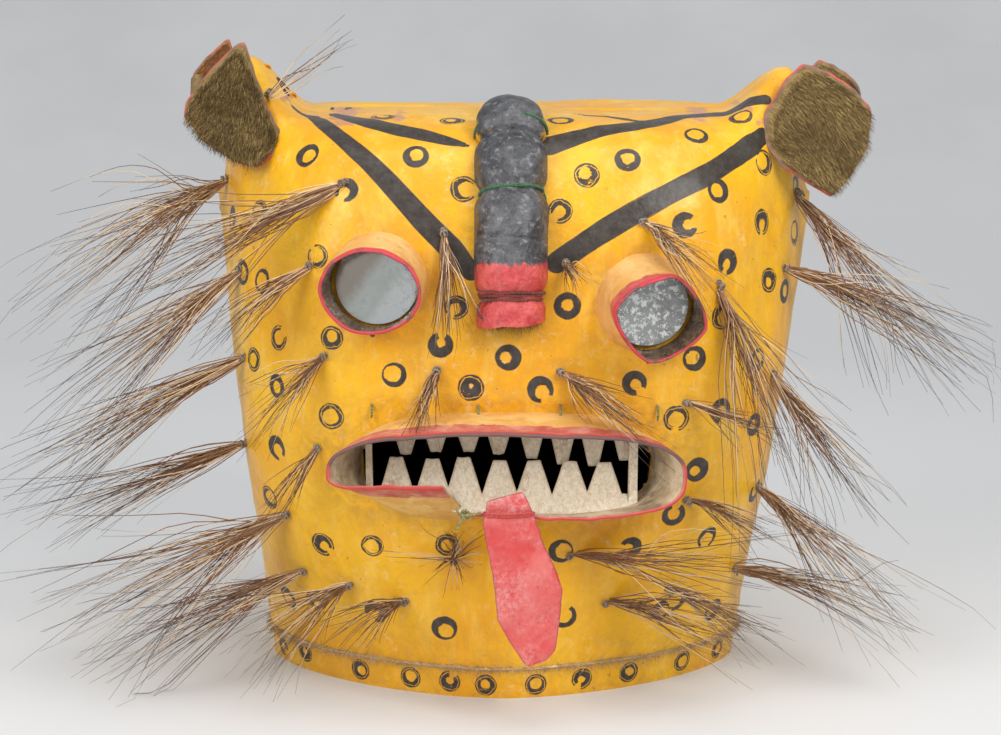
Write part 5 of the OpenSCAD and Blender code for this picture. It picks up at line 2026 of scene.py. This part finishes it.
for side, material in (("left", clear_mirror), ("right", dark_mirror)):
    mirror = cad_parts[f"eye_mirror_{side}"]
    mirror.data.materials.clear()
    mirror.data.materials.append(material)

# ---- Floor, backdrop and light ----


def make_stage():
    bend, depth, tall, wide = 1.7, 2.7, 3.4, 4.2
    profile = [(-2.6, 0.0), (depth - bend, 0.0)]
    profile += [
        (
            depth - bend + bend * math.sin(a), bend - bend * math.cos(a)
        ) for a in np.linspace(0.05, math.pi / 2, 24)
    ]
    profile += [(depth, tall)]
    verts = [(x, y, z) for y, z in profile for x in (-wide, wide)]
    faces = [(2 * k, 2 * k + 1, 2 * k + 3, 2 * k + 2) for k in range(len(profile) - 1)]
    mesh = bpy.data.meshes.new("backdrop")
    mesh.from_pydata(verts, [], faces)
    mesh.shade_smooth()
    p = Paint("backdrop_paper", Specular_IOR_Level=0.2)
    cloth = p.mix(p.step(p.noise(2.2, 4, 0.6), 0.3, 0.7), (0.67, 0.67, 0.665), (0.74, 0.74, 0.74))
    # the floor and the foot of the sweep get one flat grey, a little lighter than the wall's mean:
    # painted light from above
    cloth = p.mix(p.step(p.parts(p.place)[2], 0.16, 0.0), cloth, (0.72, 0.72, 0.72))
    p.set(Base_Color=cloth, Roughness=0.85)
    mesh.materials.append(p.material)
    obj = bpy.data.objects.new("backdrop", mesh)
    scene.collection.objects.link(obj)


make_stage()


def area_light(name, place, target, size, power, colour=(1, 1, 1)):
    data = bpy.data.lights.new(name, "AREA")
    data.shape = "RECTANGLE"
    data.size, data.size_y = size
    data.energy = power
    data.color = colour
    obj = bpy.data.objects.new(name, data)
    obj.location = place
    obj.rotation_mode = "QUATERNION"
    obj.rotation_quaternion = (Vector(target) - Vector(place)).to_track_quat("-Z", "Y")
    scene.collection.objects.link(obj)


area_light("key", (0.95, -1.45, 1.30), (0, -0.05, 0.18), (0.9, 0.7), 20, (1.0, 0.985, 0.96))
area_light("fill", (-1.65, -1.75, 1.3), (0, 0, 0.13), (1.5, 1.2), 34, (0.98, 0.99, 1.0))
area_light("top", (0.30, -0.45, 1.9), (0, 0, 0.2), (1.3, 1.0), 13, (1.0, 1.0, 1.0))
scene.view_settings.view_transform = "Standard"
world = bpy.data.worlds.new("studio")
world.use_nodes = True
world.node_tree.nodes["Background"].inputs[0].default_value = (0.86, 0.90, 0.95, 1)
world.node_tree.nodes["Background"].inputs[1].default_value = 0.46
scene.world = world
